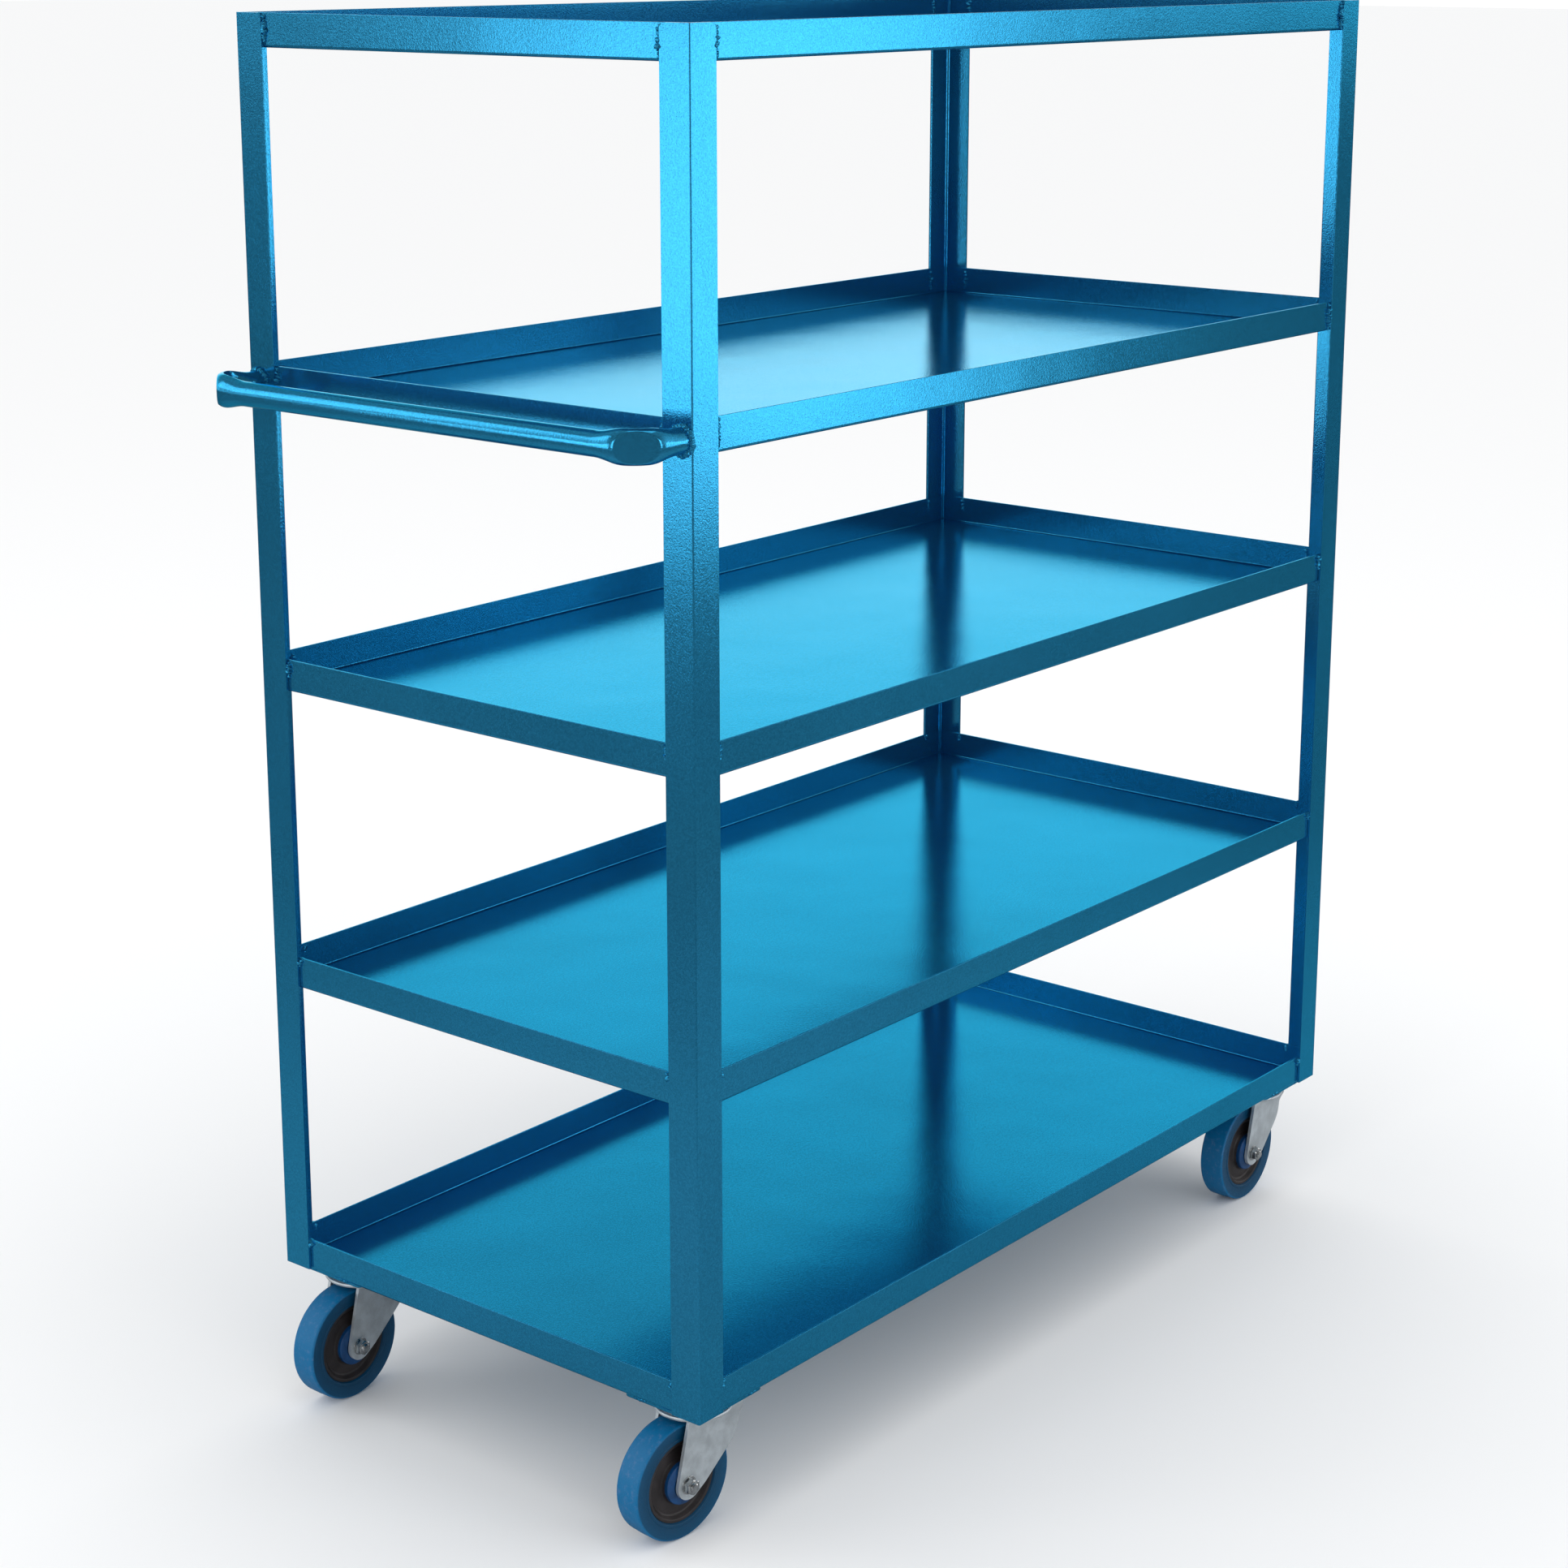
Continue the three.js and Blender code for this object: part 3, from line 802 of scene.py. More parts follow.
def bead_group():
    """Weld beads along the edges of a mesh: rippled, a little wandering, tapered at open ends."""
    made = bpy.data.node_groups.get("weld_bead")
    if made:
        return made
    group, graph, given = node_group(
        "weld_bead",
        [
            ("Bead radius", "NodeSocketFloat", 3.5 * MM),
            ("Step", "NodeSocketFloat", 0.5 * MM),
            ("Ripple pitch", "NodeSocketFloat", 3.6 * MM),
            ("Ripple depth", "NodeSocketFloat", 0.34),
            ("Wander", "NodeSocketFloat", 1.3 * MM),
            ("Taper", "NodeSocketFloat", 1.0),
            ("Seed", "NodeSocketFloat", 7.0),
            ("Material", "NodeSocketMaterial", None),
        ],
    )
    line = graph.node("GeometryNodeMeshToCurve", None, {"Mesh": given["Geometry"]})
    sockets = {"Curve": line, "Length": given["Step"]}
    fine = graph.node("GeometryNodeResampleCurve", {"mode": "LENGTH"}, sockets)
    position = graph.node("GeometryNodeInputPosition")
    settings = {"noise_dimensions": "4D"}
    sockets = {"Vector": position, "W": given["Seed"], "Scale": 240.0, "Detail": 1.0}
    lumps = graph.node("ShaderNodeTexNoise", settings, sockets, "Color")
    centred = graph.node("ShaderNodeVectorMath", {"operation": "SUBTRACT"}, {0: lumps, 1: (0.5, 0.5, 0.5)})
    sockets = {0: centred, "Scale": given["Wander"] * 4.0}
    offset = graph.node("ShaderNodeVectorMath", {"operation": "SCALE"}, sockets)
    moved = graph.node("GeometryNodeSetPosition", None, {"Geometry": fine, "Offset": offset})
    factor = graph.node("GeometryNodeSplineParameter", None, None, "Factor")
    along = graph.node("GeometryNodeSplineParameter", None, None, "Length")
    phase = along * (2 * math.pi) / given["Ripple pitch"]
    ripple = graph.node("ShaderNodeMath", {"operation": "SINE"}, {0: phase})
    ends = (factor * (1.0 - factor) * 4.0) ** 0.35
    taper = 1.0 - given["Taper"] * (1.0 - ends)
    sockets = {"Vector": position, "W": given["Seed"], "Scale": 130.0}
    swell = graph.node("ShaderNodeTexNoise", settings, sockets)
    size = (ripple * given["Ripple depth"] + 0.7 + swell * 0.6) * taper * given["Bead radius"]
    section = graph.node("GeometryNodeCurvePrimitiveCircle", None, {"Resolution": 10, "Radius": 1.0})
    sockets = {"Curve": moved, "Profile Curve": section, "Scale": size, "Fill Caps": True}
    skin = graph.node("GeometryNodeCurveToMesh", None, sockets)
    end_group(graph, skin, given["Material"])
    return group


def grown(piece, group, values):
    """Runs a node group on a piece and keeps the result as its plain mesh."""
    modifier = piece.modifiers.new("grow", "NODES")
    modifier.node_group = group
    for item in group.interface.items_tree:
        if item.in_out == "INPUT" and item.name in values:
            modifier[item.identifier] = values[item.name]
    return settled(piece)


def path_piece(name, paths):
    """A piece that holds only edges, one run for each path; a path that ends where it starts is closed."""
    vertices, edges = [], []
    for path in paths:
        first = len(vertices)
        loop = (Vector(path[0]) - Vector(path[-1])).length < 1e-9
        points = path[:-1] if loop else path
        vertices.extend(points)
        edges.extend((first + k, first + k + 1) for k in range(len(points) - 1))
        if loop:
            edges.append((first + len(points) - 1, first))
    data = bpy.data.meshes.new(name)
    data.from_pydata(vertices, edges, [])
    piece = bpy.data.objects.new(name, data)
    bpy.context.scene.collection.objects.link(piece)
    return piece


def bead_piece(name, paths, radius, seed_step=0, **changes):
    """Weld beads along the given paths, as one piece on the frame."""
    welds = bpy.context.scene.cart_welds
    values = {
        "Bead radius": radius,
        "Step": 0.5 * MM,
        "Ripple pitch": welds.ripple,
        "Ripple depth": 0.34,
        "Wander": 1.3 * MM,
        "Taper": 1.0,
        "Seed": float(welds.seed + seed_step),
        "Material": finish_material("painted_weld"),
    }
    values.update(changes)
    piece = grown(path_piece(name, paths), bead_group(), values)
    return dressed(piece, "frame", "blue_paint", finish="painted_weld")


class CART_OT_tray_welds(bpy.types.Operator):
    """Weld beads where the toes of the posts meet the trays' lips"""

    bl_idname = "cart.tray_welds"
    bl_label = "Tray welds"

    def execute(self, context):
        steel, welds = context.scene.cart_steel, context.scene.cart_welds
        chance = random.Random(welds.seed)
        # the part of each lip's height that is welded, from the lowest tray
        shares = (0.3, 0.3, 0.55, 1.0, 1.0)
        for index, node in enumerate(TRAYS):
            low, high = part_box(node)
            paths = []
            for corner, (along, across) in CORNERS.items():
                post_low, post_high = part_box("post_" + corner)
                heel_x = post_high.x if along > 0 else post_low.x
                heel_y = post_high.y if across > 0 else post_low.y
                lip_x = high.x if along > 0 else low.x
                lip_y = high.y if across > 0 else low.y
                clear = steel.leg + 1.5 * MM
                feet = ((heel_x - along * clear, lip_y), (lip_x, heel_y - across * clear))
                for x, y in feet:
                    run = (high.z - low.z) * shares[index] * chance.uniform(0.85, 1.0)
                    top = high.z - chance.uniform(0.2, 1.5) * MM
                    paths.append([(x, y, top - run), (x, y, top)])
            bead_piece("weld_beads_" + node, paths, welds.lip_bead, index)
        return {"FINISHED"}


class CART_OT_handle_welds(bpy.types.Operator):
    """Heavy weld beads round both ends of the push handle"""

    bl_idname = "cart.handle_welds"
    bl_label = "Handle welds"

    def execute(self, context):
        handle, welds = context.scene.cart_handle, context.scene.cart_welds
        low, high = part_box("push_handle")
        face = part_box("post_rear_right")[0].x
        height = (low.z + high.z) / 2
        radius = handle.tube / 2 + 0.5 * MM
        for step, (side, across) in enumerate((("right", -1), ("left", 1))):
            centre = across * (high.y - handle.tube / 2)
            around = circle(centre, height, radius, 36)
            ring = [(face - 0.8 * MM, y, z) for y, z in around + around[:1]]
            changes = {"Taper": 0.0, "Wander": 0.9 * MM, "Ripple depth": 0.22, "Ripple pitch": 4.2 * MM}
            bead_piece("handle_weld_" + side, [ring], welds.handle_bead, 20 + step, **changes)
        return {"FINISHED"}


def ball_group():
    """A ring of balls about a caster's swivel."""
    made = bpy.data.node_groups.get("ball_ring")
    if made:
        return made
    group, graph, given = node_group(
        "ball_ring",
        [
            ("Race radius", "NodeSocketFloat", 30 * MM),
            ("Ball radius", "NodeSocketFloat", 4.4 * MM),
            ("Count", "NodeSocketInt", 20),
            ("Material", "NodeSocketMaterial", None),
        ],
    )
    sockets = {"Vertices": given["Count"], "Radius": given["Race radius"]}
    race = graph.node("GeometryNodeMeshCircle", None, sockets)
    sockets = {"Segments": 14, "Rings": 9, "Radius": given["Ball radius"]}
    ball = graph.node("GeometryNodeMeshUVSphere", None, sockets)
    spread = graph.node("GeometryNodeInstanceOnPoints", None, {"Points": race, "Instance": ball})
    end_group(graph, spread, given["Material"])
    return group


# ---------------------------------------------------------------- caster mounts


def plate_piece(name, outline, holes, low, high, edge, place):
    """A flat plate with holes and softened edges, filled between 2-D outlines from low to high."""
    curve = bpy.data.curves.new(name, "CURVE")
    curve.dimensions = "2D"
    curve.fill_mode = "BOTH"
    curve.extrude = (high - low) / 2 - edge
    curve.bevel_depth = edge
    curve.bevel_resolution = 1
    curve.offset = -edge
    for loop in (outline, *holes):
        spline = curve.splines.new("POLY")
        spline.points.add(len(loop) - 1)
        for point, (x, y) in zip(spline.points, loop):
            point.co = (x, y, 0, 1)
        spline.use_cyclic_u = True
    holder = bpy.data.objects.new(name, curve)
    bpy.context.scene.collection.objects.link(holder)
    bpy.context.view_layer.update()
    flat = bpy.data.meshes.new_from_object(holder.evaluated_get(bpy.context.evaluated_depsgraph_get()))
    vertices = [vertex.co.copy() for vertex in flat.vertices]
    faces = [tuple(polygon.vertices) for polygon in flat.polygons]
    bpy.data.objects.remove(holder)
    piece = new_piece(name, vertices, faces, place @ Matrix.Translation((0, 0, (low + high) / 2)))
    smooth_below(piece, 35)
    return piece


def upper_race(rim, place):
    """The ball race that is pressed down from a caster's plate, whose underside is at the rim."""
    edges = [
        (34.2 * MM, rim, 0),
        (36.8 * MM, rim - 4.2 * MM, 1.2 * MM),
        (37.4 * MM, rim - 6.0 * MM, 0.5 * MM),
        (39.2 * MM, rim - 6.0 * MM, 0.6 * MM),
        (39.4 * MM, rim - 2.5 * MM, 1.0 * MM),
        (42.0 * MM, rim, 0),
    ]
    race = lathe(rounded(edges), 72, place, "upper_race")
    smooth_below(race, 35)
    return race


def plate_weld_paths(centre, half, height):
    """Two short runs of weld on each side of a caster's plate."""
    run = 0.34 * half
    paths = []
    for sx, sy in ((1, 0), (-1, 0), (0, 1), (0, -1)):
        for middle in (-0.55 * half, 0.55 * half):
            path = []
            for along in (middle - run / 2, middle + run / 2):
                x = centre.x + sx * half + abs(sy) * along
                y = centre.y + sy * half + abs(sx) * along
                path.append((x, y, height))
            paths.append(path)
    return paths


class CART_OT_mounts(bpy.types.Operator):
    """Caster top plates with their pressed upper race and kingpin, and the welds that hold them"""

    bl_idname = "cart.mounts"
    bl_label = "Caster mounts"

    def execute(self, context):
        for step, corner in enumerate(CORNERS):
            low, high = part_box("caster_plate_" + corner)
            half = (high.x - low.x) / 2
            centre = (low + high) / 2
            place = Matrix.Translation((centre.x, centre.y, 0))
            edges = [(sx * half, sy * half, 8 * MM) for sx, sy in ((1, -1), (1, 1), (-1, 1), (-1, -1))]
            inset = half - 12 * MM
            holes = [circle(sx * inset, sy * inset, 5 * MM) for sx in (-1, 1) for sy in (-1, 1)]
            plate = plate_piece("plate", rounded(edges), holes, low.z, high.z, 0.5 * MM, place)
            mount = joined("caster_top_plate_" + corner, [plate, upper_race(low.z + 0.6 * MM, place)])
            dressed(mount, "frame", "blue_paint", "caster_plate_" + corner)
            pin_low, pin_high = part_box("kingpin_" + corner)
            self.kingpin(corner, place, pin_low.z, pin_high.z)
            paths = plate_weld_paths(centre, half, high.z - 0.9 * MM)
            bead_piece("plate_welds_" + corner, paths, 2.0 * MM, 40 + step)
        return {"FINISHED"}

    def kingpin(self, corner, place, low, high):
        """The riveted pin and its nut, under the crown."""
        radius = 6 * MM
        stem = [(0, low, 0), (radius, low, 1.2 * MM), (radius, high, 0.4 * MM), (0, high, 0)]
        pin = lathe(rounded(stem, closed=False), 40, place, "pin", closed=False)
        smooth_below(pin, 40)
        nut = hex_body("nut", 24 * MM, low + 0.6 * MM, low + 6.2 * MM, radius, place)
        both = joined("kingpin_and_nut_" + corner, [pin, nut])
        dressed(both, "frame", "zinc_plate", "kingpin_" + corner)


# ---------------------------------------------------------------- forks


LEG_FACE = 22.5 * MM  # from the middle of the fork to the middle of each leg's sheet
LEG_SHEET = 4 * MM
SHOULDER = 6 * MM  # radius of the fold between the crown and a leg
WASHER = 1.2 * MM
AXLE_FLATS = 15 * MM  # across the flats of the axle bolt's head and its nut


def fork_outline(top):
    """Side view of a leg's sheet laid flat: down its back edge, round the axle and up its front edge."""
    corners = [
        (-24.5 * MM, top, 0),
        (-52.5 * MM, 27.5 * MM, 15.5 * MM),
        (47.0 * MM, 94.5 * MM, 32 * MM),
        (47.5 * MM, top, 0),
    ]
    return rounded(corners, closed=False, step=math.radians(5))


def spaced(points, count):
    """The same line with this many points, evenly spaced along it."""
    runs = [0.0]
    for a, b in zip(points, points[1:]):
        runs.append(runs[-1] + (b - a).length)
    line, at = [], 0
    for k in range(count):
        goal = runs[-1] * k / (count - 1)
        while at < len(points) - 2 and runs[at + 1] < goal:
            at += 1
        share = (goal - runs[at]) / max(1e-12, runs[at + 1] - runs[at])
        line.append(points[at].lerp(points[at + 1], min(1.0, share)))
    return line


def fork_leg(side, crown_middle, crease, place):
    """One leg's sheet: flat at the back, turned in at the front, its shoulder folded under the crown."""
    fold = crown_middle - SHOULDER
    arc = SHOULDER * math.pi / 2
    top = fold + arc + 9 * MM
    outline = fork_outline(top)
    tip = min(range(len(outline)), key=lambda index: outline[index].y)
    rows, columns = 56, 26
    back = spaced(outline[: tip + 1], rows)
    front = spaced(list(reversed(outline[tip:])), rows)
    slope = math.tan(crease)
    crease_x, turn_width = -7 * MM, 0.7 * MM
    vertices = []
    for left, right in zip(back, front):
        for k in range(columns):
            x, run = left.lerp(right, k / (columns - 1))
            past = (x - crease_x) / turn_width
            inward = slope * turn_width * (math.log1p(math.exp(-abs(past))) + max(past, 0.0))
            angle = min(math.pi / 2, max(0.0, (run - fold) / SHOULDER))
            flat = max(0.0, run - fold - arc)
            fade = 1 - smooth_step(run, fold - 22 * MM, fold)
            y = LEG_FACE - inward * fade - SHOULDER * (1 - math.cos(angle)) - flat
            z = min(run, fold) + SHOULDER * math.sin(angle)
            vertices.append((x, side * y, z))
    faces = []
    for row in range(rows - 1):
        for k in range(columns - 1):
            corner = row * columns + k
            faces.append((corner, corner + 1, corner + columns + 1, corner + columns))
    leg = new_piece("leg", vertices, faces, place)
    thicken(leg, LEG_SHEET)
    soften(leg, 0.8 * MM, degrees=50)
    return settled(leg)


def fork_crown(top, place):
    """The fork's dished crown with the lower ball race pressed into it."""
    low = top - 4.5 * MM
    edges = [
        (7 * MM, low, 0.5 * MM),
        (40.5 * MM, low, 1.5 * MM),
        (42.0 * MM, low + 2.2 * MM, 1.2 * MM),
        (41.2 * MM, top, 0.8 * MM),
        (36.4 * MM, top, 0.6 * MM),
        (36.0 * MM, top + 3.0 * MM, 0.7 * MM),
        (34.4 * MM, top + 3.0 * MM, 0.5 * MM),
        (32.5 * MM, top - 0.6 * MM, 1.5 * MM),
        (26.0 * MM, top - 0.6 * MM, 1.5 * MM),
        (24.5 * MM, top, 1.0 * MM),
        (7 * MM, top, 0.5 * MM),
    ]
    crown = lathe(rounded(edges), 84, place, "crown")
    smooth_below(crown, 35)
    return crown


class CART_OT_forks(bpy.types.Operator):
    """Pressed forks: a dished crown with its lower race and two creased legs, and the balls between"""

    bl_idname = "cart.forks"
    bl_label = "Forks"

    def execute(self, context):
        casters = context.scene.cart_casters
        for corner in CORNERS:
            place = caster_frame(corner)
            crown_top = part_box("fork_" + corner)[1].z
            body = "swivel_" + corner
            middle = crown_top - 2.2 * MM
            legs = [fork_leg(side, middle, casters.crease, place) for side in (1, -1)]
            fork = joined("pressed_fork_" + corner, [fork_crown(crown_top, place), *legs])
            dressed(fork, body, "zinc_plate", "fork_" + corner)
            low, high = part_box("swivel_balls_" + corner)
            start = path_piece("ball_race_" + corner, [[(0, 0, 0), (0, 0, MM)]])
            values = {
                "Race radius": 30 * MM,
                "Ball radius": (high.z - low.z) / 2 * math.cos(math.pi / 8),
                "Count": 20,
                "Material": finish_material("bare_steel"),
            }
            balls = grown(start, ball_group(), values)
            balls.data.transform(place @ Matrix.Translation((0, 0, (low.z + high.z) / 2)))
            dressed(balls, body, "bare_steel", "swivel_balls_" + corner)
        return {"FINISHED"}


class CART_OT_axles(bpy.types.Operator):
    """Axle bolts and nuts with chamfered hexagons, washers and a threaded end"""

    bl_idname = "cart.axles"
    bl_label = "Axles"

    def execute(self, context):
        face = LEG_FACE + LEG_SHEET / 2 + 0.1 * MM
        bolt_radius = 4.75 * MM
        for corner in CORNERS:
            place = axle_frame(corner)
            body = "swivel_" + corner
            shank = self.shank(place, bolt_radius, -(face + 11 * MM), face + MM)
            head_low = face + WASHER
            head = hex_body("head", AXLE_FLATS, head_low, head_low + 5.6 * MM, 0, place)
            pads = [self.washer(place, face), self.washer(place, -face - WASHER)]
            bolt = joined("axle_bolt_and_washers_" + corner, [shank, head, *pads])
            dressed(bolt, body, "zinc_plate", "axle_bolt_" + corner, finish="bright_zinc")
            nut_high = -face - WASHER
            name = "axle_locknut_" + corner
            nut = hex_body(name, AXLE_FLATS, nut_high - 7.4 * MM, nut_high, bolt_radius, place)
            dressed(nut, body, "zinc_plate", "axle_nut_" + corner, finish="bright_zinc")
            coated(frame["nodes"]["axle_sleeve_" + corner], "bare_steel")
        return {"FINISHED"}

    def shank(self, place, radius, low, high):
        """The bolt's shank, with its thread at the low end."""
        pitch = 1.25 * MM
        stem = [(0, low), (radius - 0.9 * MM, low)]
        for k in range(10):
            depth = 0.35 * MM if k % 2 else 0
            stem.append((radius - depth, low + 1.0 * MM + k * pitch / 2))
        stem += [(radius, high), (0, high)]
        made = lathe(stem, 36, place, "shank", closed=False)
        smooth_below(made, 30)
        return made

    def washer(self, place, low):
        inner, outer, high = 5 * MM, 9.8 * MM, low + WASHER
        edges = [(inner, low, 0), (outer, low, 0.35 * MM), (outer, high, 0.35 * MM), (inner, high, 0)]
        made = lathe(rounded(edges), 48, place, "washer")
        smooth_below(made, 35)
        return made


# ---------------------------------------------------------------- wheels


def both_sides(side):
    """A closed wheel profile from one side's (radius, distance from the middle) corners."""
    return [(r, h, f) for r, h, f in side] + [(r, -h, f) for r, h, f in reversed(side)]


class CART_OT_wheels(bpy.types.Operator):
    """Elastic tyres, moulded cores, hub caps and bearings"""

    bl_idname = "cart.wheels"
    bl_label = "Wheels"

    def execute(self, context):
        casters = context.scene.cart_casters
        bed, hub = casters.tyre_bed, casters.hub
        for corner in CORNERS:
            place = axle_frame(corner)
            body = "wheel_" + corner
            centre = JOINTS["roll_" + corner]["pos_m"]
            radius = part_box("tyre_" + corner)[1].z - centre[2]
            tyre_side = [
                (radius + 0.05 * MM, 0, 0),
                (radius - 0.3 * MM, 14.4 * MM, 1.6 * MM),
                (radius - 1.9 * MM, 16.0 * MM, 1.4 * MM),
                (bed + 4.6 * MM, 15.0 * MM, 0.8 * MM),
                (bed + 3.9 * MM, 15.6 * MM, 0.5 * MM),
                (bed + 1.2 * MM, 15.4 * MM, 0.7 * MM),
                (bed, 13.2 * MM, 0.3 * MM),
            ]
            profile = rounded(both_sides(tyre_side)[:-1])
            tyre = lathe(profile, 128, place, "elastic_tyre_" + corner)
            smooth_below(tyre, 40)
            self.mark_wear_and_shade(tyre, place, radius)
            dressed(tyre, body, "blue_rubber", "tyre_" + corner)
            core_side = [
                (12.2 * MM, 17.8 * MM, 0),
                (hub - 1.2 * MM, 17.8 * MM, 0.8 * MM),
                (hub + 0.8 * MM, 9.5 * MM, 2.5 * MM),
                (bed - 7.0 * MM, 8.2 * MM, 3.0 * MM),
                (bed - 3.4 * MM, 13.6 * MM, 1.2 * MM),
                (bed - 0.1 * MM, 13.6 * MM, 0.5 * MM),
            ]
            core = lathe(rounded(both_sides(core_side)), 112, place, "moulded_core_" + corner)
            smooth_below(core, 40)
            dressed(core, body, "dark_nylon", "wheel_core_" + corner)
            for side, direction in (("outer", -1), ("inner", 1)):
                cap_side = [
                    (8.6 * MM, 18.1 * MM, 0.2 * MM),
                    (hub - 1.6 * MM, 18.1 * MM, 0.2 * MM),
                    (hub - 1.0 * MM, 13.5 * MM, 0.2 * MM),
                    (hub, 13.5 * MM, 0.4 * MM),
                    (hub, 18.4 * MM, 1.4 * MM),
                    (15.0 * MM, 20.0 * MM, 2.0 * MM),
                    (13.6 * MM, 19.0 * MM, 0.8 * MM),
                    (8.6 * MM, 19.0 * MM, 0.2 * MM),
                ]
                mirrored = [(r, direction * h, f) for r, h, f in cap_side]
                cap = lathe(rounded(mirrored), 72, place, "hub_cap_" + side + "_cover_" + corner)
                smooth_below(cap, 35)
                dressed(cap, body, "blue_nylon", "hub_cap_" + side + "_" + corner)
            coated(frame["nodes"]["wheel_bearing_" + corner], "bare_steel")
        return {"FINISHED"}

    def mark_wear_and_shade(self, tyre, place, radius):
        """Marks a tyre's rolling face, with its dust and scuffs; the rest of the tyre gets painted shade.
        """
        back = place.inverted()
        wear_and_shade = tyre.data.attributes.new("wear_and_shade", "FLOAT", "POINT")
        for vertex, value in zip(tyre.data.vertices, wear_and_shade.data):
            local = back @ vertex.co
            value.value = smooth_step(math.hypot(local.x, local.y), radius - 3.5 * MM, radius - 0.8 * MM)


# ---------------------------------------------------------------- stage


CAMERA_PLACE = (-2.650, -2.103, 1.600)
CAMERA_AZIMUTH = math.radians(-50.84)
CAMERA_ELEVATION = math.radians(13.36)
CAMERA_SHIFT = -0.086
FLOOR_REACH = 60.0


def soft_panel(name, place, target, width, height, radiance):
    """A rectangular softbox that shines at a point, unseen by the camera."""
    light = bpy.data.lights.new(name, "AREA")
    light.shape = "RECTANGLE"
    light.size = width
    light.size_y = height
    light.energy = radiance * math.pi * width * height
    holder = bpy.data.objects.new(name, light)
    holder.location = place
    holder.rotation_euler = (Vector(place) - Vector(target)).to_track_quat("Z", "Y").to_euler()
    holder.visible_camera = False
    bpy.context.scene.collection.objects.link(holder)


def studio_world():
    """A pale surround for the camera and soft fill, and a studio wall for mirror reflections.

    The wall stands beyond the cart's front left corner, is brightest low down and fades upwards. A
    reflection of a reflection shows it dimmer.
    """
    world = bpy.data.worlds.new("studio")
    bpy.context.scene.world = world
    world.use_nodes = True
    graph = Graph(world.node_tree)
    toward = graph.node("ShaderNodeTexCoord", None, None, "Generated")
    split = graph.node("ShaderNodeSeparateXYZ", None, {0: toward}).socket.node
    x, y, z = (Wire(graph, socket) for socket in split.outputs)
    ahead = x * 0.7 + y * 0.71
    wall = graph.ranged(ahead, -0.45, 0.6, 0.0, 1.0)
    lift = graph.ranged(z, 0.12, 0.56, 1.36, 0.2)
    bounces = graph.node("ShaderNodeLightPath", None, None, "Glossy Depth")
    glow = (wall * lift + 0.16) * graph.ranged(bounces, 1.0, 2.0, 1.0, 0.6)
    glossy = graph.node("ShaderNodeBackground", None, {"Color": (1, 1, 1, 1), "Strength": glow})
    plain = graph.node("ShaderNodeBackground", None, {"Color": (1, 1, 1, 1), "Strength": 1.04})
    mirror_ray = graph.node("ShaderNodeLightPath", None, None, "Is Glossy Ray")
    mixed = graph.node("ShaderNodeMixShader", None, {0: mirror_ray, 1: plain, 2: glossy})
    graph.node("ShaderNodeOutputWorld", None, {"Surface": mixed})


def floor_material(tint):
    """Plain pale studio floor, which shows darker in mirror reflections, most of all far from the cart."""
    made = bpy.data.materials.new("studio_floor")
    made.use_nodes = True
    graph = Graph(made.node_tree)
    pale = graph.node("ShaderNodeBsdfDiffuse", None, {"Color": rgba(tint)})
    place = graph.place()
    distance = graph.node("ShaderNodeVectorMath", {"operation": "LENGTH"}, {0: place}, "Value")
    far = graph.ranged(distance, 1.1, 2.6, 0.0, 1.0)
    shaded = graph.mixed(far, (0.29, 0.3, 0.31, 1), (0.14, 0.15, 0.16, 1))
    dim = graph.node("ShaderNodeBsdfDiffuse", None, {"Color": shaded})
    mirror_ray = graph.node("ShaderNodeLightPath", None, None, "Is Glossy Ray")
    mixed = graph.node("ShaderNodeMixShader", None, {0: mirror_ray, 1: pale, 2: dim})
    graph.node("ShaderNodeOutputMaterial", None, {"Surface": mixed})
    return made


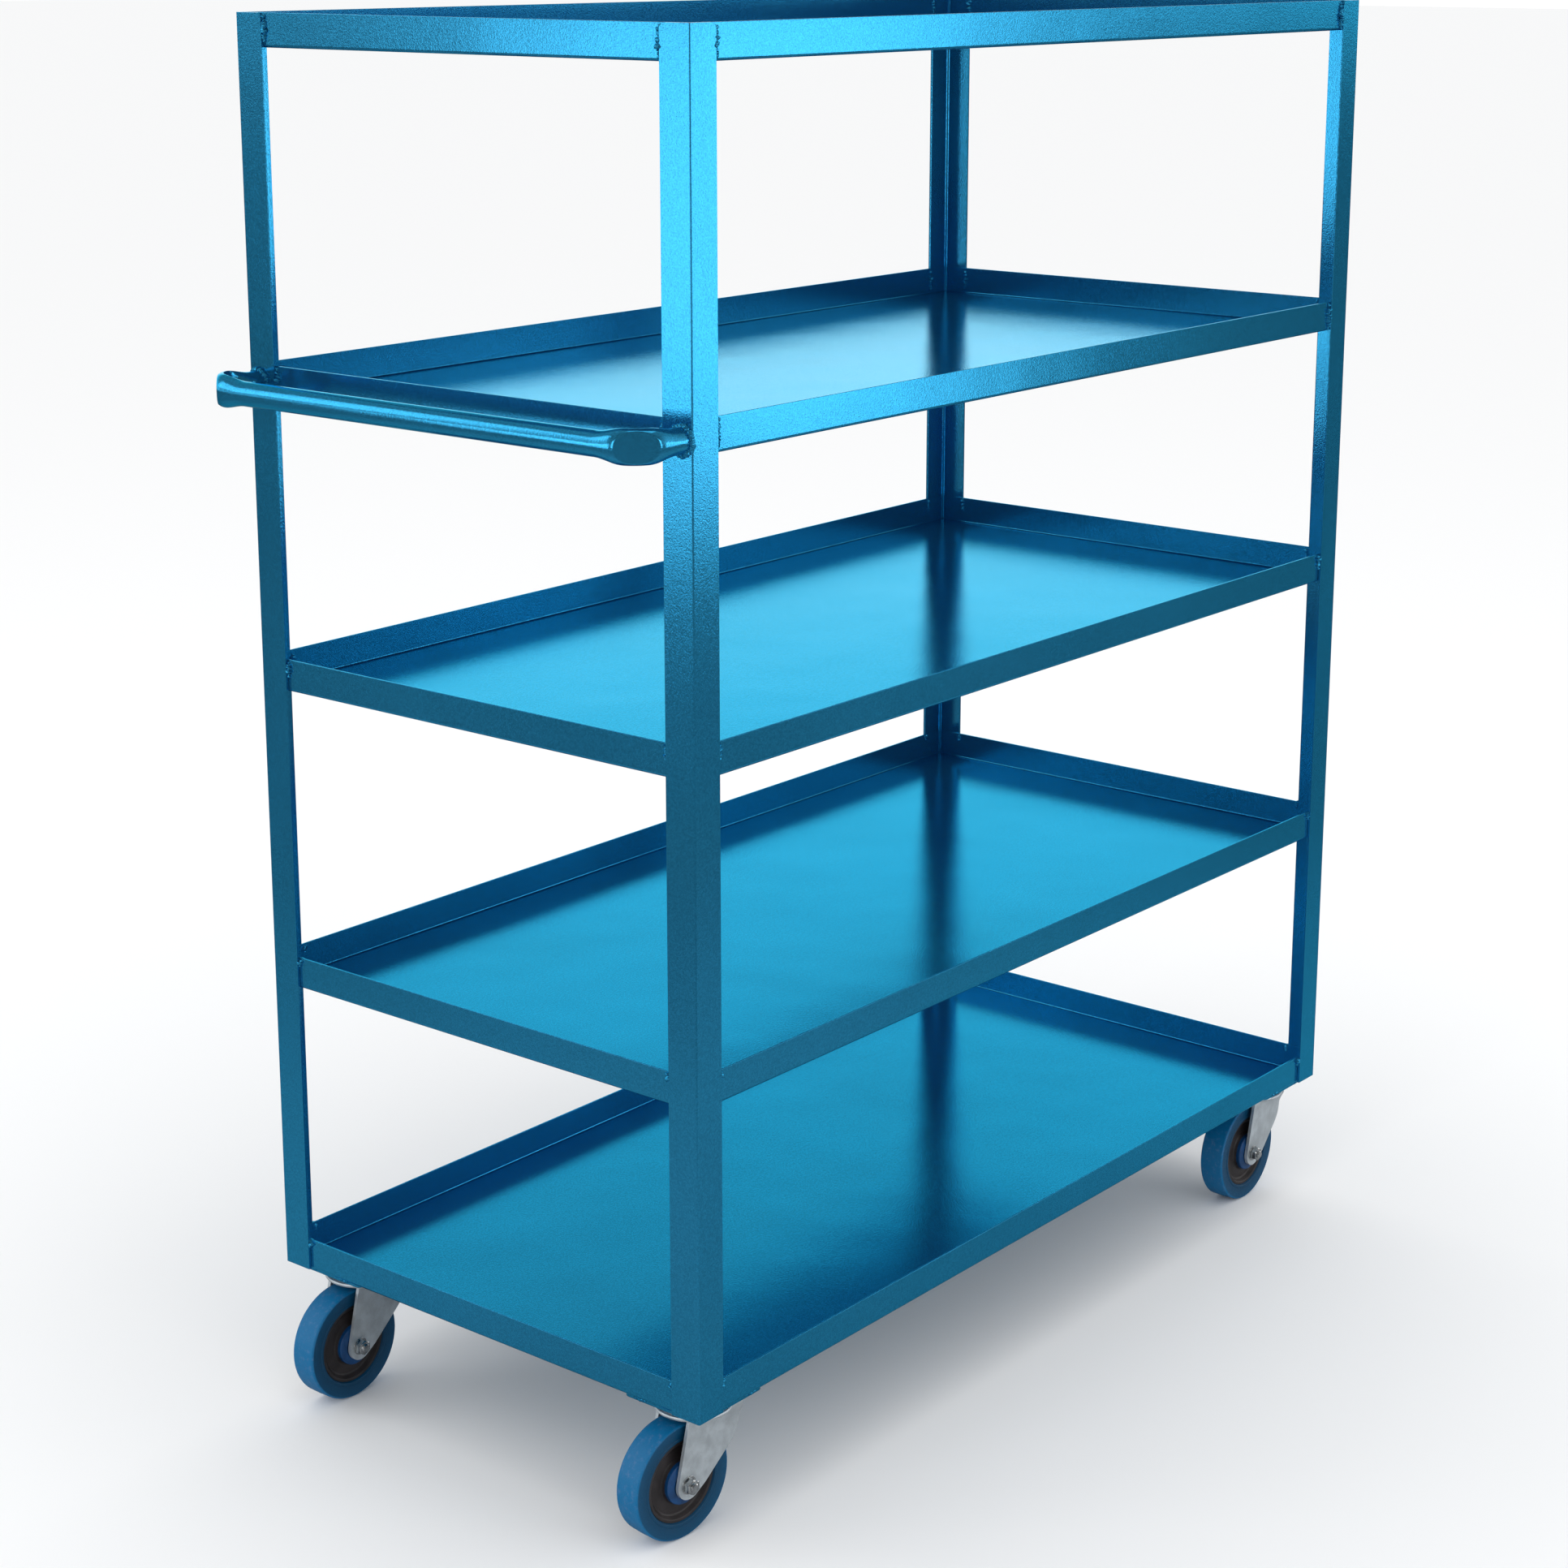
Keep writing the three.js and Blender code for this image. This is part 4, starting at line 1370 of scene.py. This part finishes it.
class CART_OT_stage(bpy.types.Operator):
    """Pale floor, soft panels, surround and camera"""

    bl_idname = "cart.stage"
    bl_label = "Stage"

    def execute(self, context):
        stage = context.scene.cart_stage
        signs = ((-1, -1), (1, -1), (1, 1), (-1, 1))
        corners = [(sx * FLOOR_REACH, sy * FLOOR_REACH, 0) for sx, sy in signs]
        ground = new_piece("studio_floor", corners, [(0, 1, 2, 3)])
        ground.data.materials.append(floor_material(stage.floor))
        studio_world()
        near_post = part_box("post_rear_right")[0]
        # each panel's name, azimuth, width, heights of its foot and head, and radiance
        panels = (
            ("panel_rear", 140.5, 1.15, 0.12, 1.57, 2.15),
            ("panel_side", -38.6, 1.15, 0.12, 1.57, 2.15),
            ("panel_rear_far", 174.0, 2.6, 0.3, 2.9, 1.9),
            ("panel_side_far", -78.0, 2.6, 0.3, 2.9, 1.9),
            ("panel_rear_high", 122.0, 1.8, 2.2, 5.0, 1.5),
        )
        for name, azimuth, width, foot, head, radiance in panels:
            turn = math.radians(azimuth)
            away = Vector((math.cos(turn), math.sin(turn), 0)) * stage.distance
            place = Vector((near_post.x, near_post.y, (foot + head) / 2)) + away
            soft_panel(name, place, (near_post.x, near_post.y, place.z), width, head - foot, radiance)
        soft_panel("panel_overhead", (0.3, -0.6, 5.2), (0, 0, 0.8), 3.0, 3.0, 0.9)
        camera = bpy.data.objects.new("camera", bpy.data.cameras.new("camera"))
        camera.location = CAMERA_PLACE
        level = math.cos(CAMERA_ELEVATION)
        back = Vector((
            math.sin(CAMERA_AZIMUTH) * level,
            -math.cos(CAMERA_AZIMUTH) * level,
            math.sin(CAMERA_ELEVATION),
        ))
        camera.rotation_euler = back.to_track_quat("Z", "Y").to_euler()
        camera.data.lens = stage.lens
        camera.data.sensor_width = 36
        camera.data.shift_y = CAMERA_SHIFT
        camera.data.clip_end = 300
        bpy.context.scene.collection.objects.link(camera)
        context.scene.camera = camera
        context.scene.view_settings.view_transform = "Standard"
        return {"FINISHED"}


# ---------------------------------------------------------------- add-on


OPERATORS = (
    CART_OT_posts,
    CART_OT_trays,
    CART_OT_handle,
    CART_OT_tray_welds,
    CART_OT_handle_welds,
    CART_OT_mounts,
    CART_OT_forks,
    CART_OT_axles,
    CART_OT_wheels,
    CART_OT_stage,
)


class CART_PT_panel(bpy.types.Panel):
    """The pieces of the shelf cart, in the order in which they are built"""

    bl_idname = "CART_PT_panel"
    bl_label = "Shelf cart"
    bl_space_type = "VIEW_3D"
    bl_region_type = "UI"
    bl_category = "Shelf cart"

    def draw(self, context):
        for operator in OPERATORS:
            self.layout.operator(operator.bl_idname)
        for name in SETTINGS:
            box = self.layout.box()
            settings = getattr(context.scene, name)
            for key in settings.__annotations__:
                box.prop(settings, key)


def register():
    for name, group in SETTINGS.items():
        bpy.utils.register_class(group)
        setattr(bpy.types.Scene, name, bpy.props.PointerProperty(type=group))
    for operator in OPERATORS:
        bpy.utils.register_class(operator)
    bpy.utils.register_class(CART_PT_panel)


def unregister():
    bpy.utils.unregister_class(CART_PT_panel)
    for operator in reversed(OPERATORS):
        bpy.utils.unregister_class(operator)
    for name, group in SETTINGS.items():
        delattr(bpy.types.Scene, name)
        bpy.utils.unregister_class(group)


def main():
    register()
    for operator in OPERATORS:
        group, name = operator.bl_idname.split(".")
        if getattr(getattr(bpy.ops, group), name)() != {"FINISHED"}:
            raise RuntimeError(operator.bl_label + " could not be built")


if __name__ == "__main__":
    main()
